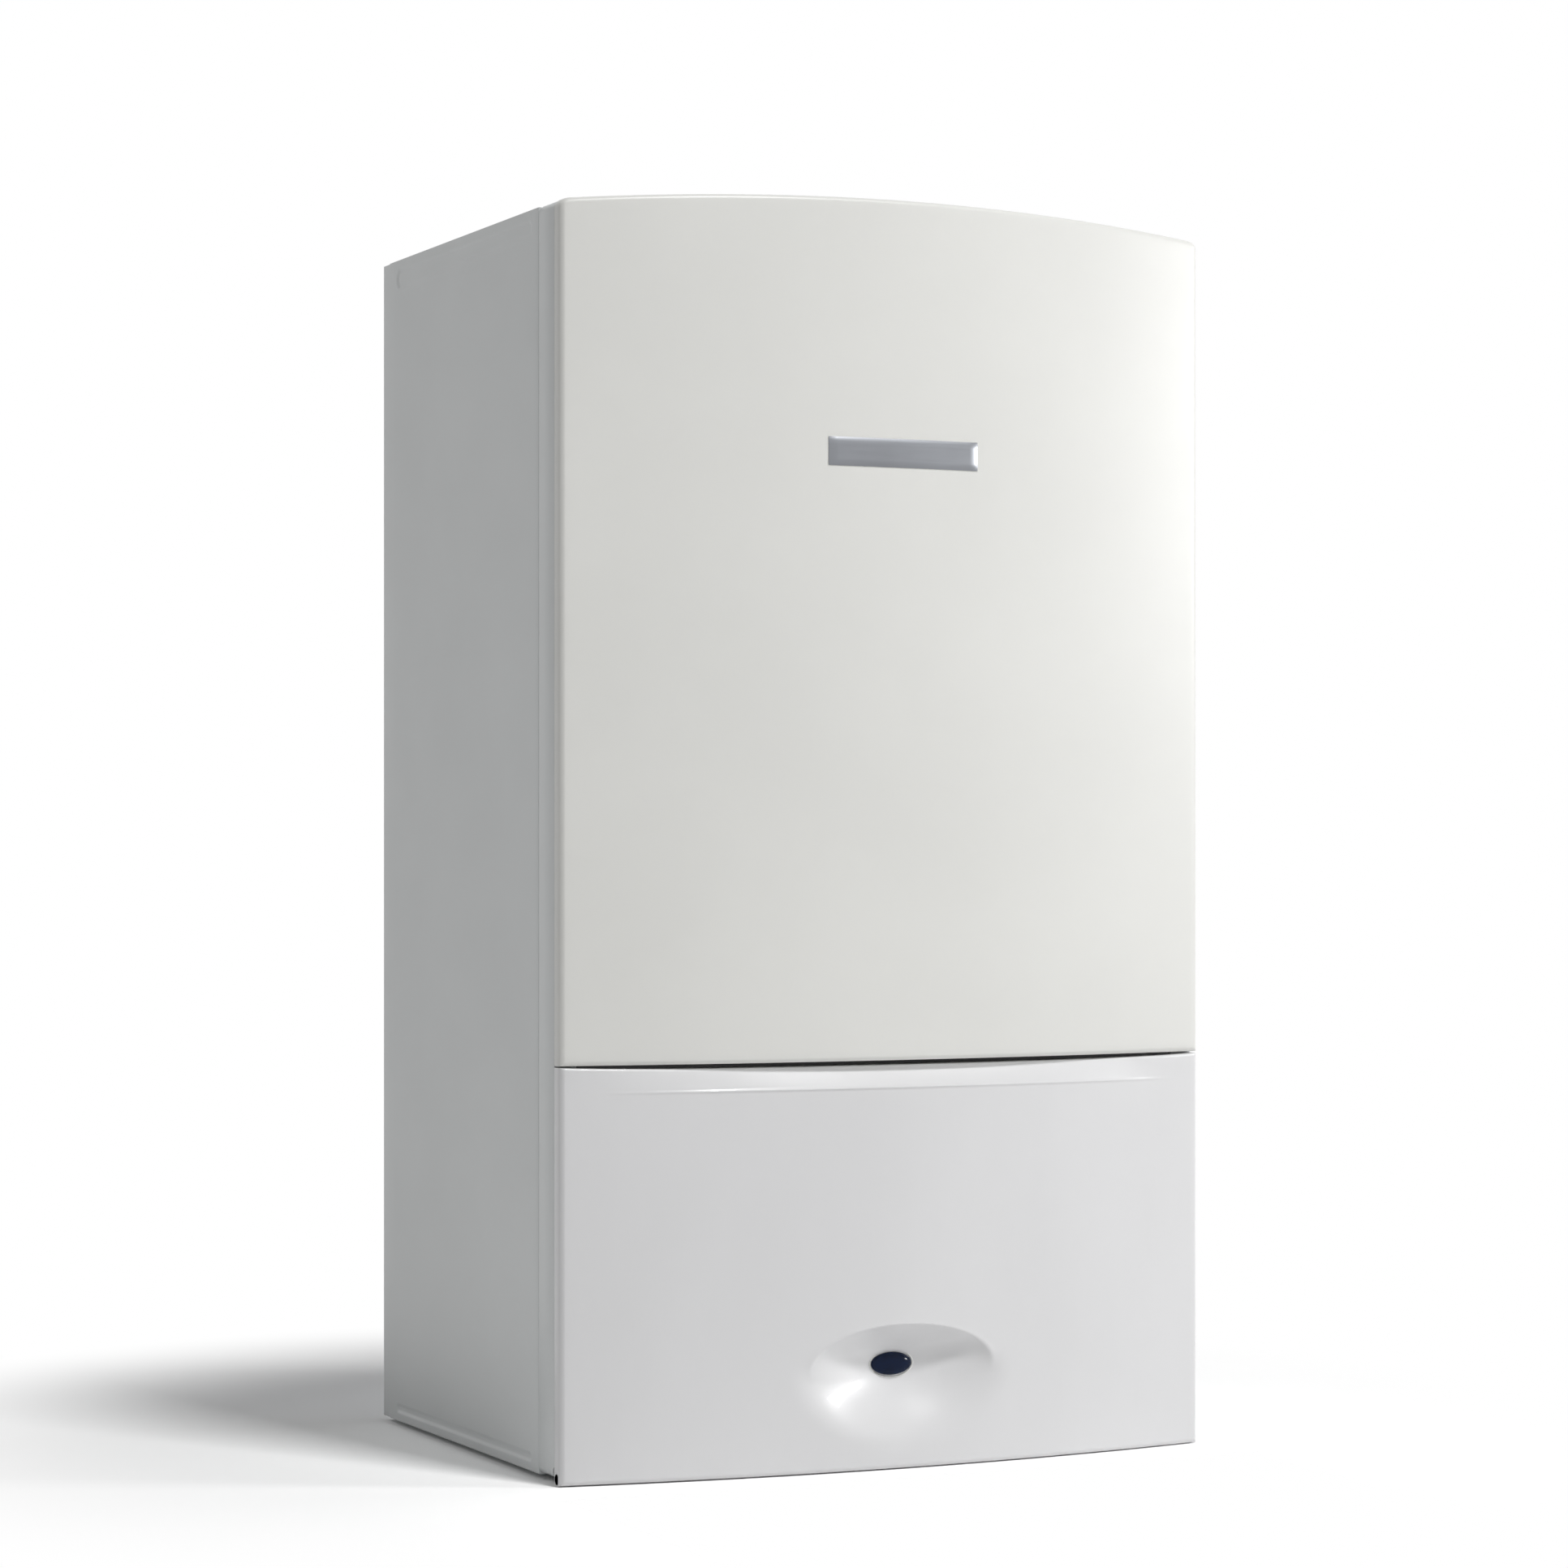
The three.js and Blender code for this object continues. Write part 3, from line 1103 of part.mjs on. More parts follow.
const RELIEF = { x: 2 * TAIL_PITCH, face: BLOCK_FRONT - BOSS.reach - FIT, length: 18 };

function reliefValve() {
  const { x, face, length } = RELIEF;
  const end = face - length;
  const profile = [[0, face], [11, face], [11, end + 6], [8, end + 4], [8, end], [0, end]];
  const outlet = rod('z', 6, BOSS.z - 24, BOSS.z, [x, face - 7, 0], 10);
  return join(turned('y', profile, [x, 0, BOSS.z], 12), outlet);
}

// Grip of the relief valve, fluted so that a wet hand can turn it. Made about its own axis.
function reliefKnob() {
  const grip = rod('y', 13, -18, 0, [0, 0, 0], 16);
  const flutes = Array.from({ length: 8 }, (_, i) => {
    const turn = (2 * Math.PI * i) / 8;
    return rod('y', 2.5, -19, 1, [14 * Math.cos(turn), 0, 14 * Math.sin(turn)], 5);
  });
  return cut(grip, ...flutes);
}

const FILLING = { x: -TAIL_PITCH, face: BLOCK_FRONT - BOSS.reach - FIT, length: 16 };

function fillingValve() {
  const { x, face, length } = FILLING;
  const end = face - length;
  const profile = [[0, face], [11, face], [11, end + 6], [6, end + 4], [6, end], [0, end]];
  return turned('y', profile, [x, 0, BOSS.z], 14);
}

// Lever of the filling valve, made about the valve's axis and pointing down to its shut place.
function fillingLever() {
  const hub = rod('y', 9, -8, 0, [0, 0, 0], 14);
  const arm = extruded(rounded([-5, 5], [-22, 4], 4), 'y', -6, -2, 4);
  return join(hub, arm);
}

// ---- Control box behind the flap ----

const ARM_DEPTH = 6; // hinge arms reach this far under the tray

function switchSpan(grow) {
  const half = SWITCH_WIDTH / 2 + grow;
  return [GAUGE_OFFSET - half, GAUGE_OFFSET + half];
}

function upperSpan(height, grow) {
  const half = height / 2 + grow;
  return [UPPER_ROW_HEIGHT - half, UPPER_ROW_HEIGHT + half];
}

function buttonPlaces() {
  return [-1, 0, 1].map((step) => step * BUTTON_PITCH);
}

// Moulded tray with the box's hinge arms and the board's posts.
function controlTray() {
  const xs = [-BOX_HALF_WIDTH, BOX_HALF_WIDTH];
  const outer = block(xs, [TRAY_FRONT, BOX_BACK], [BOX_BOTTOM, BOX_TOP]);
  const hollow = block(
    [xs[0] + MOULDED, xs[1] - MOULDED], [TRAY_FRONT - 1, BOX_BACK - MOULDED],
    [BOX_BOTTOM + MOULDED, BOX_TOP - MOULDED],
  );
  const end = TRAY_FRONT + ARM_DEPTH;
  const bar = [[HINGE_Y, end], [HINGE_RADIUS - EYE_RADIUS, HINGE_RADIUS + EYE_RADIUS]];
  const arms = boxArms().map((arm) => hingeArm(arm, [bar]));
  const uprights = boxArms().map(({ x, width }) => (
    block([x - width / 2, x + width / 2], [TRAY_FRONT, end], [FIT, BOX_BOTTOM + 1])
  ));
  const posts = boardPosts().map(([x, z]) => rod('y', 4, BOARD_BACK + FIT, BOX_BACK - 1, [x, 0, z], 8));
  return join(cut(outer, hollow), ...arms, ...uprights, ...posts);
}

const BOARD_FRONT = TRAY_FRONT + 30;
const BOARD_BACK = BOARD_FRONT + 1.6;
const BOARD_HALF_WIDTH = BOX_HALF_WIDTH - UPPER_ROW_EDGE;

function boardPosts() {
  const z = [BOX_BOTTOM + 30, BOX_TOP - 20];
  const x = [-BOARD_HALF_WIDTH + 10, BOARD_HALF_WIDTH - 10];
  return x.flatMap((across) => z.map((up) => [across, up]));
}

function circuitBoard() {
  const zs = [BOX_BOTTOM + 20, BOX_TOP - 10];
  const board = block([-BOARD_HALF_WIDTH, BOARD_HALF_WIDTH], [BOARD_FRONT, BOARD_BACK], zs);
  const transformer = block([70, 112], [BOARD_FRONT - 20, BOARD_FRONT + 1], [40, 76]);
  const relays = [-118, -92, -66].map((x) => (
    block([x, x + 18], [BOARD_FRONT - 14, BOARD_FRONT + 1], [44, 70])
  ));
  const sockets = [-30, 0, 30].map((x) => (
    block([x - 12, x + 12], [BOARD_FRONT - 9, BOARD_FRONT + 1], [34, 46])
  ));
  return join(board, transformer, ...relays, ...sockets);
}

function controlFascia() {
  const xs = [-BOX_HALF_WIDTH - 1, BOX_HALF_WIDTH + 1];
  const top = BOX_TOP + 10;
  const back = FASCIA_FRONT + FASCIA_THICKNESS;
  const plate = extruded(rounded(xs, [BOX_BOTTOM, top], 6), 'y', FASCIA_FRONT, back, 2);
  const socketHeight = upperSpan(SWITCH_HEIGHT, 1 + MOULDED);
  const socketOut = block(switchSpan(FIT + MOULDED), [back - 1, back + 10], socketHeight);
  const through = [FASCIA_FRONT - 1, back + 11];
  const switchHole = block(switchSpan(FIT), through, upperSpan(SWITCH_HEIGHT, 1));
  const pivot = [0, SWITCH_PIVOT_Y, UPPER_ROW_HEIGHT];
  const pinHole = bore('x', 1.5 + FIT, ...switchSpan(FIT + MOULDED + 1), pivot, 8);
  const gaugeHole = bore('y', GAUGE_RADIUS + FIT, ...through, [-GAUGE_OFFSET, 0, UPPER_ROW_HEIGHT], 14);
  const displayHole = extruded(displayShape(FIT), 'y', ...through, 2);
  const knobHoles = [-KNOB_OFFSET, KNOB_OFFSET].map((x) => (
    bore('y', SHAFT_RADIUS + FIT, ...through, [x, 0, KNOB_HEIGHT], 8)
  ));
  const buttonHoles = buttonPlaces().map((x) => (
    extruded(buttonShape(x, BUTTON_ROW_HEIGHT, FIT), 'y', ...through, 2)
  ));
  const holes = [switchHole, pinHole, gaugeHole, displayHole, ...knobHoles, ...buttonHoles];
  return cut(join(plate, socketOut), ...holes);
}

function displayShape(grow) {
  const half = DISPLAY_WIDTH / 2 + grow;
  return rounded([-half, half], upperSpan(DISPLAY_HEIGHT, grow), 4);
}

// Window of the display, clipped in from behind by its rim.
function displayWindow() {
  const back = FASCIA_FRONT + FASCIA_THICKNESS;
  const pane = extruded(displayShape(0), 'y', FASCIA_FRONT + 0.5, back + 2, 2);
  const rim = extruded(displayShape(3), 'y', back + FIT, back + 2, 2);
  return join(pane, rim);
}

function buttonShape(x, z, grow) {
  const [halfWidth, halfHeight] = [BUTTON_WIDTH / 2 + grow, BUTTON_HEIGHT / 2 + grow];
  return rounded([x - halfWidth, x + halfWidth], [z - halfHeight, z + halfHeight], 3);
}

// Push button about its own centre. Its rim behind the fascia stops it falling out.
function pushButton() {
  const cap = extruded(buttonShape(0, 0, 0), 'y', -2, FASCIA_THICKNESS + 3, 2);
  const rim = extruded(buttonShape(0, 0, 1.5), 'y', FASCIA_THICKNESS + FIT, FASCIA_THICKNESS + 3, 2);
  return join(cap, rim);
}

const SHAFT_RADIUS = 4; // of the rotary knobs

// Rotary knob about its own axis, with a grip ridge across its face and its shaft behind.
function controlKnob() {
  const face = -KNOB_LENGTH;
  const shaftEnd = FASCIA_THICKNESS + 10;
  const profile = [
    [0, shaftEnd], [SHAFT_RADIUS, shaftEnd], [SHAFT_RADIUS, 0], [KNOB_RADIUS, 0],
    [KNOB_RADIUS, -2], [KNOB_RADIUS - 3, -4], [KNOB_RADIUS - 4, face + 2], [KNOB_RADIUS - 6, face], [0, face],
  ];
  const body = turned('y', profile, [0, 0, 0], 14);
  const ridgeShape = rounded([-3, 3], [-KNOB_RADIUS + 5, KNOB_RADIUS - 5], 2.9);
  const ridge = extruded(ridgeShape, 'y', face - 1.2, face + 1, 2);
  return join(body, ridge);
}

const SWITCH_PIVOT_Y = FASCIA_FRONT + FASCIA_THICKNESS + 4;

// Rocker of the mains switch about its pivot, with a slightly hollow face.
function mainsRocker() {
  const half = SWITCH_HEIGHT / 2;
  const front = FASCIA_FRONT - SWITCH_PIVOT_Y;
  const side = new THREE.Shape();
  side.moveTo(front - 3, half - 1);
  side.quadraticCurveTo(front + 0.5, 0, front - 3, 1 - half);
  side.lineTo(-1, -half);
  side.lineTo(4, -half / 3);
  side.lineTo(4, half / 3);
  side.lineTo(-1, half);
  const body = extruded(side, 'x', -SWITCH_WIDTH / 2, SWITCH_WIDTH / 2);
  const reach = SWITCH_WIDTH / 2 + MOULDED - FIT;
  return join(body, rod('x', 1.5, -reach, reach, [0, 0, 0], 8));
}

const DIAL_SINK = 3;

// Cup of the pressure gauge with its dial, bored for the pointer's pin.
function gaugeCase() {
  const mouth = GAUGE_RADIUS - MOULDED;
  const deep = FASCIA_THICKNESS + 18;
  const profile = [
    [0, DIAL_SINK], [mouth, DIAL_SINK], [mouth, -2], [GAUGE_RADIUS + 2, -2], [GAUGE_RADIUS + 2, -FIT],
    [GAUGE_RADIUS, -FIT], [GAUGE_RADIUS, deep], [0, deep],
  ];
  const cup = turned('y', profile, [0, 0, 0], 14);
  return cut(cup, bore('y', 0.8 + FIT, DIAL_SINK - 1, DIAL_SINK + 4, [0, 0, 0], 8));
}

function gaugePointer() {
  const hub = rod('y', 2.2, 1.2, 2.4, [0, 0, 0], 10);
  const pin = rod('y', 0.8, 1.5, DIAL_SINK + 3, [0, 0, 0], 10);
  const tip = GAUGE_RADIUS - MOULDED - 3;
  const outline = [[-0.9, -4], [0.9, -4], [0.4, tip], [-0.4, tip]];
  const shape = new THREE.Shape(outline.map((point) => new THREE.Vector2(...point)));
  return join(hub, pin, extruded(shape, 'y', 1.4, 2.1));
}

function gaugeGlass() {
  return rod('y', GAUGE_RADIUS - MOULDED - FIT, -1.8, -0.8, [0, 0, 0], 14);
}

// ---- Assembly ----

function addCasing(boiler) {
  const casing = new THREE.Group();
  const right = sidePanel();
  piece(casing, 'side_panel_right', right, 'casePaint');
  piece(casing, 'side_panel_left', mirrored(right), 'casePaint');
  piece(casing, 'top_panel', topPanel(), 'casePaint');
  piece(casing, 'back_panel', backPanel(), 'galvanised');
  piece(casing, 'front_frame', frontFrame(), 'casePaint');
  piece(casing, 'base_plate', basePlate(), 'galvanised');
  piece(casing, 'hanging_rail', hangingRail(), 'galvanised');
  piece(casing, 'wall_spacer', wallSpacer(), 'galvanised');
  piece(casing, 'flue_collar', flueCollar(), 'whitePlastic');
  boiler.add(casing);
}

function addBurnerSide(boiler) {
  const burner = new THREE.Group();
  piece(burner, 'drum_rail', drumRail(), 'galvanised');
  piece(burner, 'heat_exchanger', heatExchanger(), 'stainless');
  piece(burner, 'burner_door', burnerDoor(), 'castAluminium');
  piece(burner, 'ignition_electrode', ignitionElectrode(), 'whitePlastic');
  piece(burner, 'gas_air_duct', gasAirDuct(), 'castAluminium');
  piece(burner, 'fan_housing', fanHousing(), 'castAluminium');
  piece(burner, 'fan_motor', fanMotor(), 'darkPlastic');
  piece(burner, 'fan_impeller', fanImpeller(), 'castAluminium', [FAN_X, FAN_FRONT + 8, FAN_Z]);
  piece(burner, 'gas_air_mixer', gasAirMixer(), 'darkPlastic');
  piece(burner, 'air_intake_tube', airIntakeTube(), 'darkPlastic');
  piece(burner, 'gas_valve', gasValve(), 'castAluminium');
  piece(burner, 'gas_injector_pipe', gasInjectorPipe(), 'copper');
  piece(burner, 'gas_pipe', gasPipe(), 'copper');
  piece(burner, 'flue_duct', flueDuct(), 'whitePlastic');
  piece(burner, 'expansion_vessel', expansionVessel(), 'vesselPaint');
  boiler.add(burner);
}

function addWaterSide(boiler) {
  const water = new THREE.Group();
  piece(water, 'condensate_trap', condensateTrap(), 'greyPlastic');
  piece(water, 'flow_block', flowBlock(), 'brass');
  piece(water, 'return_block', returnBlock(), 'brass');
  piece(water, 'plate_heat_exchanger', plateExchanger(), 'stainless');
  piece(water, 'pump_motor', pumpMotor(), 'darkPlastic');
  piece(water, 'diverter_actuator', diverterActuator(), 'greyPlastic');
  piece(water, 'air_vent', airVent(), 'brass');
  piece(water, 'relief_valve', reliefValve(), 'brass');
  const knobPlace = [RELIEF.x, RELIEF.face - RELIEF.length - FIT, BOSS.z];
  piece(water, 'relief_knob', reliefKnob(), 'pointerRed', knobPlace);
  piece(water, 'filling_valve', fillingValve(), 'brass');
  const leverPlace = [FILLING.x, FILLING.face - FILLING.length - FIT, BOSS.z];
  piece(water, 'filling_lever', fillingLever(), 'blackPlastic', leverPlace);
  piece(water, 'flow_pipe', flowPipe(), 'copper');
  piece(water, 'return_pipe', returnPipe(), 'copper');
  const names = ['heating_flow', 'hot_water', 'gas', 'cold_water', 'heating_return'];
  tailPlaces().forEach((x, i) => {
    const radius = names[i] === 'gas' ? GAS_TAIL_RADIUS : TAIL_RADIUS;
    piece(water, `tail_${names[i]}`, connectionTail(x, radius), 'brass');
  });
  boiler.add(water);
}

function addFronts(boiler) {
  const fronts = new THREE.Group();
  piece(fronts, 'front_cover', frontCover(), 'coverPaint');
  piece(fronts, 'badge_bar', badgeBar(), 'chrome');
  piece(fronts, 'control_flap', controlFlap(), 'flapPlastic');
  piece(fronts, 'lens_ring', lensRing(), 'whitePlastic');
  piece(fronts, 'indicator_lens', indicatorLens(), 'navyLens');
  boiler.add(fronts);
}

function addControls(boiler) {
  const controls = new THREE.Group();
  piece(controls, 'control_tray', controlTray(), 'greyPlastic');
  piece(controls, 'control_fascia', controlFascia(), 'whitePlastic');
  piece(controls, 'circuit_board', circuitBoard(), 'boardGreen');
  piece(controls, 'display_window', displayWindow(), 'blackPlastic');
  const knobY = FASCIA_FRONT - FIT;
  piece(controls, 'heating_knob', controlKnob(), 'greyPlastic', [-KNOB_OFFSET, knobY, KNOB_HEIGHT]);
  piece(controls, 'hot_water_knob', controlKnob(), 'greyPlastic', [KNOB_OFFSET, knobY, KNOB_HEIGHT]);
  const switchPlace = [GAUGE_OFFSET, SWITCH_PIVOT_Y, UPPER_ROW_HEIGHT];
  piece(controls, 'mains_switch', mainsRocker(), 'blackPlastic', switchPlace);
  ['menu_button', 'reset_button', 'info_button'].forEach((name, i) => {
    piece(controls, name, pushButton(), 'greyPlastic', [buttonPlaces()[i], FASCIA_FRONT, BUTTON_ROW_HEIGHT]);
  });
  const gauge = new THREE.Group();
  gauge.position.set(-GAUGE_OFFSET, FASCIA_FRONT, UPPER_ROW_HEIGHT);
  piece(gauge, 'gauge_case', gaugeCase(), 'blackPlastic');
  piece(gauge, 'gauge_pointer', gaugePointer(), 'pointerRed');
  piece(gauge, 'gauge_glass', gaugeGlass(), 'clear');
  controls.add(gauge);
  boiler.add(controls);
}

const boiler = new THREE.Group();
addCasing(boiler);
addBurnerSide(boiler);
addWaterSide(boiler);
addFronts(boiler);
addControls(boiler);

export default boiler;
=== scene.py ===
"""A wall-hung combi boiler standing on a pale floor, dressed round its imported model."""
import json
import math

import bmesh
import bpy
from mathutils import Matrix, Vector

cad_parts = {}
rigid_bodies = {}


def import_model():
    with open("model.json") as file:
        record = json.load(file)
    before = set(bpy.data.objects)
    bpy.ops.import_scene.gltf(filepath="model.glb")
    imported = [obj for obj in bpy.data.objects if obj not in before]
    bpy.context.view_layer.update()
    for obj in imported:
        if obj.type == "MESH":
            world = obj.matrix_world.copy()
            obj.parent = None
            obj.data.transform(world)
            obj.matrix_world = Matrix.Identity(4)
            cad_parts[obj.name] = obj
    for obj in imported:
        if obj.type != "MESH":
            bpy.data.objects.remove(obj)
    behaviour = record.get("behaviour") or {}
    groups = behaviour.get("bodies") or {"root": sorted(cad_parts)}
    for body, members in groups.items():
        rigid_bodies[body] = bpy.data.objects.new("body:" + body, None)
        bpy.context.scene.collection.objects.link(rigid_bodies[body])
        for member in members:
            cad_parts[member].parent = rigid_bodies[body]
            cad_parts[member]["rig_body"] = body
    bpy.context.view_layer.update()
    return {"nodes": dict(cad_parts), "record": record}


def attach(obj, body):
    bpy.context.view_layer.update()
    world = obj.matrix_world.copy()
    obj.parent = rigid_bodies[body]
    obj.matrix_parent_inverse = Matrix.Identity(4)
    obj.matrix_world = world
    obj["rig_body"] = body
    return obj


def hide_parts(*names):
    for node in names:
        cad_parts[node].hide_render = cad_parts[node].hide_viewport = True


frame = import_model()
NODES = frame["nodes"]
SCENE = bpy.context.scene
MM = 0.001
SCENE.view_settings.view_transform = "Standard"

# ---- Sizes of the boiler in metres, as its solids have them ----
HALF = 0.200
CROWN_TOP = 0.710
CROWN = 0.009
BOW = 0.018
APEX_Y = -0.1638
CORNER_Y = APEX_Y + BOW
COVER_BACK = CORNER_Y + 0.0083
HINGE_RADIUS = 0.0033
HINGE_Y = COVER_BACK - HINGE_RADIUS
TRAY_BACK = -0.0587
FRAME_FRONT = COVER_BACK + 0.0003
FRAME_BACK = COVER_BACK + 0.023
SIDE_FRONT = FRAME_BACK + 0.0003
CASE_BACK = 0.1462
CORNER_TOP = CROWN_TOP - CROWN
CASE_TOP = CORNER_TOP - 0.001
SKIRT = 0.0025
COVER_BOTTOM = 0.2285
FLAP_TOP = 0.2257
CREASE_Z = FLAP_TOP - 0.0122
CORNER_RADIUS = 0.005
EDGE_RADIUS = 0.003
TO_FRONT = (0.0, -1.0, 0.0)
TO_BACK = (0.0, 1.0, 0.0)


# ---- Camera, lamps, floor and background ----

def add_camera():
    """The photograph's view: level, from the left, with the frame shifted up a little."""
    data = bpy.data.cameras.new("photo_camera")
    data.sensor_width = 36.0
    data.lens = 95.02
    data.shift_y = 0.0376
    data.clip_start = 0.05
    data.clip_end = 100.0
    camera = bpy.data.objects.new("photo_camera", data)
    SCENE.collection.objects.link(camera)
    camera.location = (-1.0336, -2.2382, 0.3501)
    camera.rotation_euler = (math.radians(90.0), 0.0, math.radians(-24.82))
    SCENE.camera = camera


def add_softbox(name, place, aim, width, height, watts):
    """Adds a rectangular lamp that faces a point."""
    data = bpy.data.lights.new(name, "AREA")
    data.shape = "RECTANGLE"
    data.size = width
    data.size_y = height
    data.energy = watts
    lamp = bpy.data.objects.new(name, data)
    SCENE.collection.objects.link(lamp)
    lamp.location = place
    lamp.rotation_euler = (Vector(aim) - Vector(place)).to_track_quat("-Z", "Y").to_euler()


def light_the_studio():
    """One large lamp above, one at the right, and two weak ones at the left."""
    middle = (0.0, 0.0, 0.35)
    add_softbox("key", (0.6, -2.3, 3.5), middle, 0.8, 0.5, 70.0)
    add_softbox("right_side", (2.4, -1.5, 0.9), middle, 0.5, 0.42, 26.0)
    add_softbox("left_fill", (-1.8, -2.6, 1.2), middle, 1.6, 1.6, 0.3)
    add_softbox("high_left", (-2.2, 0.4, 2.4), middle, 1.4, 1.4, 7.0)


# ---- Writing materials: readings of a surface, and sums on them ----

class Reading:
    """One socket of a material's nodes. Sums on readings add their Math nodes."""

    def __init__(self, finish, socket):
        self.finish = finish
        self.socket = socket

    def _sum(self, operation, first, second):
        return self.finish.node("Math", {"operation": operation}, {0: first, 1: second})

    def __add__(self, other):
        return self._sum("ADD", self, other)

    __radd__ = __add__

    def __mul__(self, other):
        return self._sum("MULTIPLY", self, other)

    __rmul__ = __mul__

    def __sub__(self, other):
        return self._sum("SUBTRACT", self, other)

    def __rsub__(self, other):
        return self._sum("SUBTRACT", other, self)

    def at_least(self, other):
        return self._sum("MAXIMUM", self, other)


class Finish:
    """A material built from nodes. `node` is the one way that nodes are added."""

    def __init__(self, name):
        self.material = bpy.data.materials.new(name)
        self.material.use_nodes = True
        self.tree = self.material.node_tree
        self.shader = self.tree.nodes["Principled BSDF"]

    def node(self, kind, settings=None, values=None, output=0):
        made = self.tree.nodes.new("ShaderNode" + kind)
        for name, value in (settings or {}).items():
            setattr(made, name, value)
        for key, value in (values or {}).items():
            self.feed(made.inputs[key], value)
        return Reading(self, made.outputs[output])

    def feed(self, socket, value):
        if isinstance(value, Reading):
            self.tree.links.new(value.socket, socket)
        elif hasattr(socket.default_value, "__len__") and len(socket.default_value) == 4:
            socket.default_value = (*value, 1.0)[:4]
        else:
            socket.default_value = value

    def set(self, **values):
        """Feeds the shader: set(Base_Color=..., Roughness=...)."""
        for name, value in values.items():
            self.feed(self.shader.inputs[name.replace("_", " ")], value)

    def place(self, scale=(1.0, 1.0, 1.0), turn=(0.0, 0.0, 0.0), centre=(0.0, 0.0, 0.0)):
        """Object coordinates in metres, moved, turned and stretched."""
        point = self.node("TexCoord", output="Object")
        return self.node("Mapping", None, {"Vector": point, "Scale": scale, "Rotation": turn,
                                           "Location": centre})

    def noise(self, scale, detail=2.0, place=None):
        return self.node("TexNoise", None, {"Vector": place or self.place(), "Scale": scale,
                                            "Detail": detail})

    def cells(self, scale, output):
        return self.node("TexVoronoi", None, {"Vector": self.place(), "Scale": scale}, output)

    def between(self, share, low, high):
        """A number that goes from low to high as share goes from 0 to 1."""
        return share * (high - low) + low

    def blend(self, share, first, second):
        """One colour over another by share, a reading or a number."""
        return self.node("Mix", {"data_type": "RGBA"}, {0: share, 6: first, 7: second}, 2)

    def step(self, value, low, high):
        """0 below low, 1 above high, smooth between."""
        settings = {"interpolation_type": "SMOOTHSTEP"}
        return self.node("MapRange", settings, {"Value": value, "From Min": low, "From Max": high})

    def bump(self, height, depth, strength, normal=None):
        values = {"Height": height, "Distance": depth, "Strength": strength}
        if normal:
            values["Normal"] = normal
        return self.node("Bump", None, values)


def tint(colour, factor):
    """A colour made darker or lighter."""
    return tuple(min(1.0, part * factor) for part in colour)


def linear(red, green, blue):
    """A colour given as it looks on a screen, 0 to 255, as the renderer counts it."""
    def channel(value):
        share = value / 255.0
        return share / 12.92 if share <= 0.04045 else ((share + 0.055) / 1.055) ** 2.4
    return (channel(red), channel(green), channel(blue))


# ---- Finishes ----

def coated_steel(name, colour, roughness=0.42, peel=0.00002):
    """Powder coat: a fine orange peel, and a gloss that wanders a little."""
    finish = Finish(name)
    cloud = finish.noise(7.0, 3.0)
    fine = finish.noise(900.0, 1.0)
    base = finish.blend(finish.step(cloud, 0.35, 0.7), tint(colour, 0.985), tint(colour, 1.015))
    gloss = finish.between(finish.noise(26.0, 3.0), roughness - 0.05, roughness + 0.05)
    coarse = finish.bump(finish.noise(260.0, 1.0), peel * 1.5, 0.5)
    finish.set(Base_Color=base, Roughness=gloss, Coat_Weight=0.15, Coat_Roughness=0.3,
               Normal=finish.bump(fine, peel, 0.6, coarse))
    return finish.material


def moulded(name, colour, roughness, grain=0.00001, coat=0.0):
    """Moulded plastic: faint flow marks and a fine even grain."""
    finish = Finish(name)
    flow = finish.noise(9.0, 4.0, finish.place(scale=(1.0, 1.0, 0.35)))
    base = finish.blend(finish.step(flow, 0.35, 0.7), tint(colour, 0.98), tint(colour, 1.02))
    gloss = finish.between(finish.noise(40.0, 3.0), roughness * 0.85, roughness * 1.15)
    finish.set(Base_Color=base, Roughness=gloss, Coat_Weight=coat, Coat_Roughness=0.04,
               Normal=finish.bump(finish.noise(1500.0, 1.0), grain, 0.6))
    return finish.material


def bare_metal(name, colour, roughness, grain, stretch=(1.0, 1.0, 1.0), stain=None):
    """Metal with a grain, coarse or drawn out along one axis, and darker stains."""
    finish = Finish(name)
    place = finish.place(scale=stretch)
    lines = finish.noise(grain, 3.0, place)
    cloud = finish.step(finish.noise(11.0, 4.0), 0.4, 0.75)
    base = finish.blend(cloud, colour, stain or tint(colour, 0.82))
    gloss = finish.between(lines, roughness - 0.1, roughness + 0.12) + cloud * 0.06
    finish.set(Base_Color=base, Metallic=1.0, Roughness=gloss,
               Normal=finish.bump(lines, 0.00003, 0.5))
    return finish.material


def zinc_coat(name):
    """Galvanised sheet with its spangle of crystals."""
    finish = Finish(name)
    wobble = finish.noise(90.0)
    tone = finish.node("SeparateColor", None, {"Color": finish.cells(140.0, "Color")})
    base = finish.blend(tone, (0.54, 0.56, 0.58), (0.66, 0.68, 0.70))
    gloss = tone * 0.16 + wobble * 0.1 + 0.3
    finish.set(Base_Color=base, Metallic=0.9, Roughness=gloss,
               Normal=finish.bump(tone, 0.00002, 0.4))
    return finish.material


def clear_plastic(name, colour, roughness=0.03):
    """Clear moulding with smears that blur it a little here and there."""
    finish = Finish(name)
    smear = finish.step(finish.noise(35.0, 3.0), 0.45, 0.8)
    finish.set(Base_Color=colour, Transmission_Weight=1.0, IOR=1.47,
               Roughness=finish.between(smear, roughness, roughness + 0.05))
    return finish.material


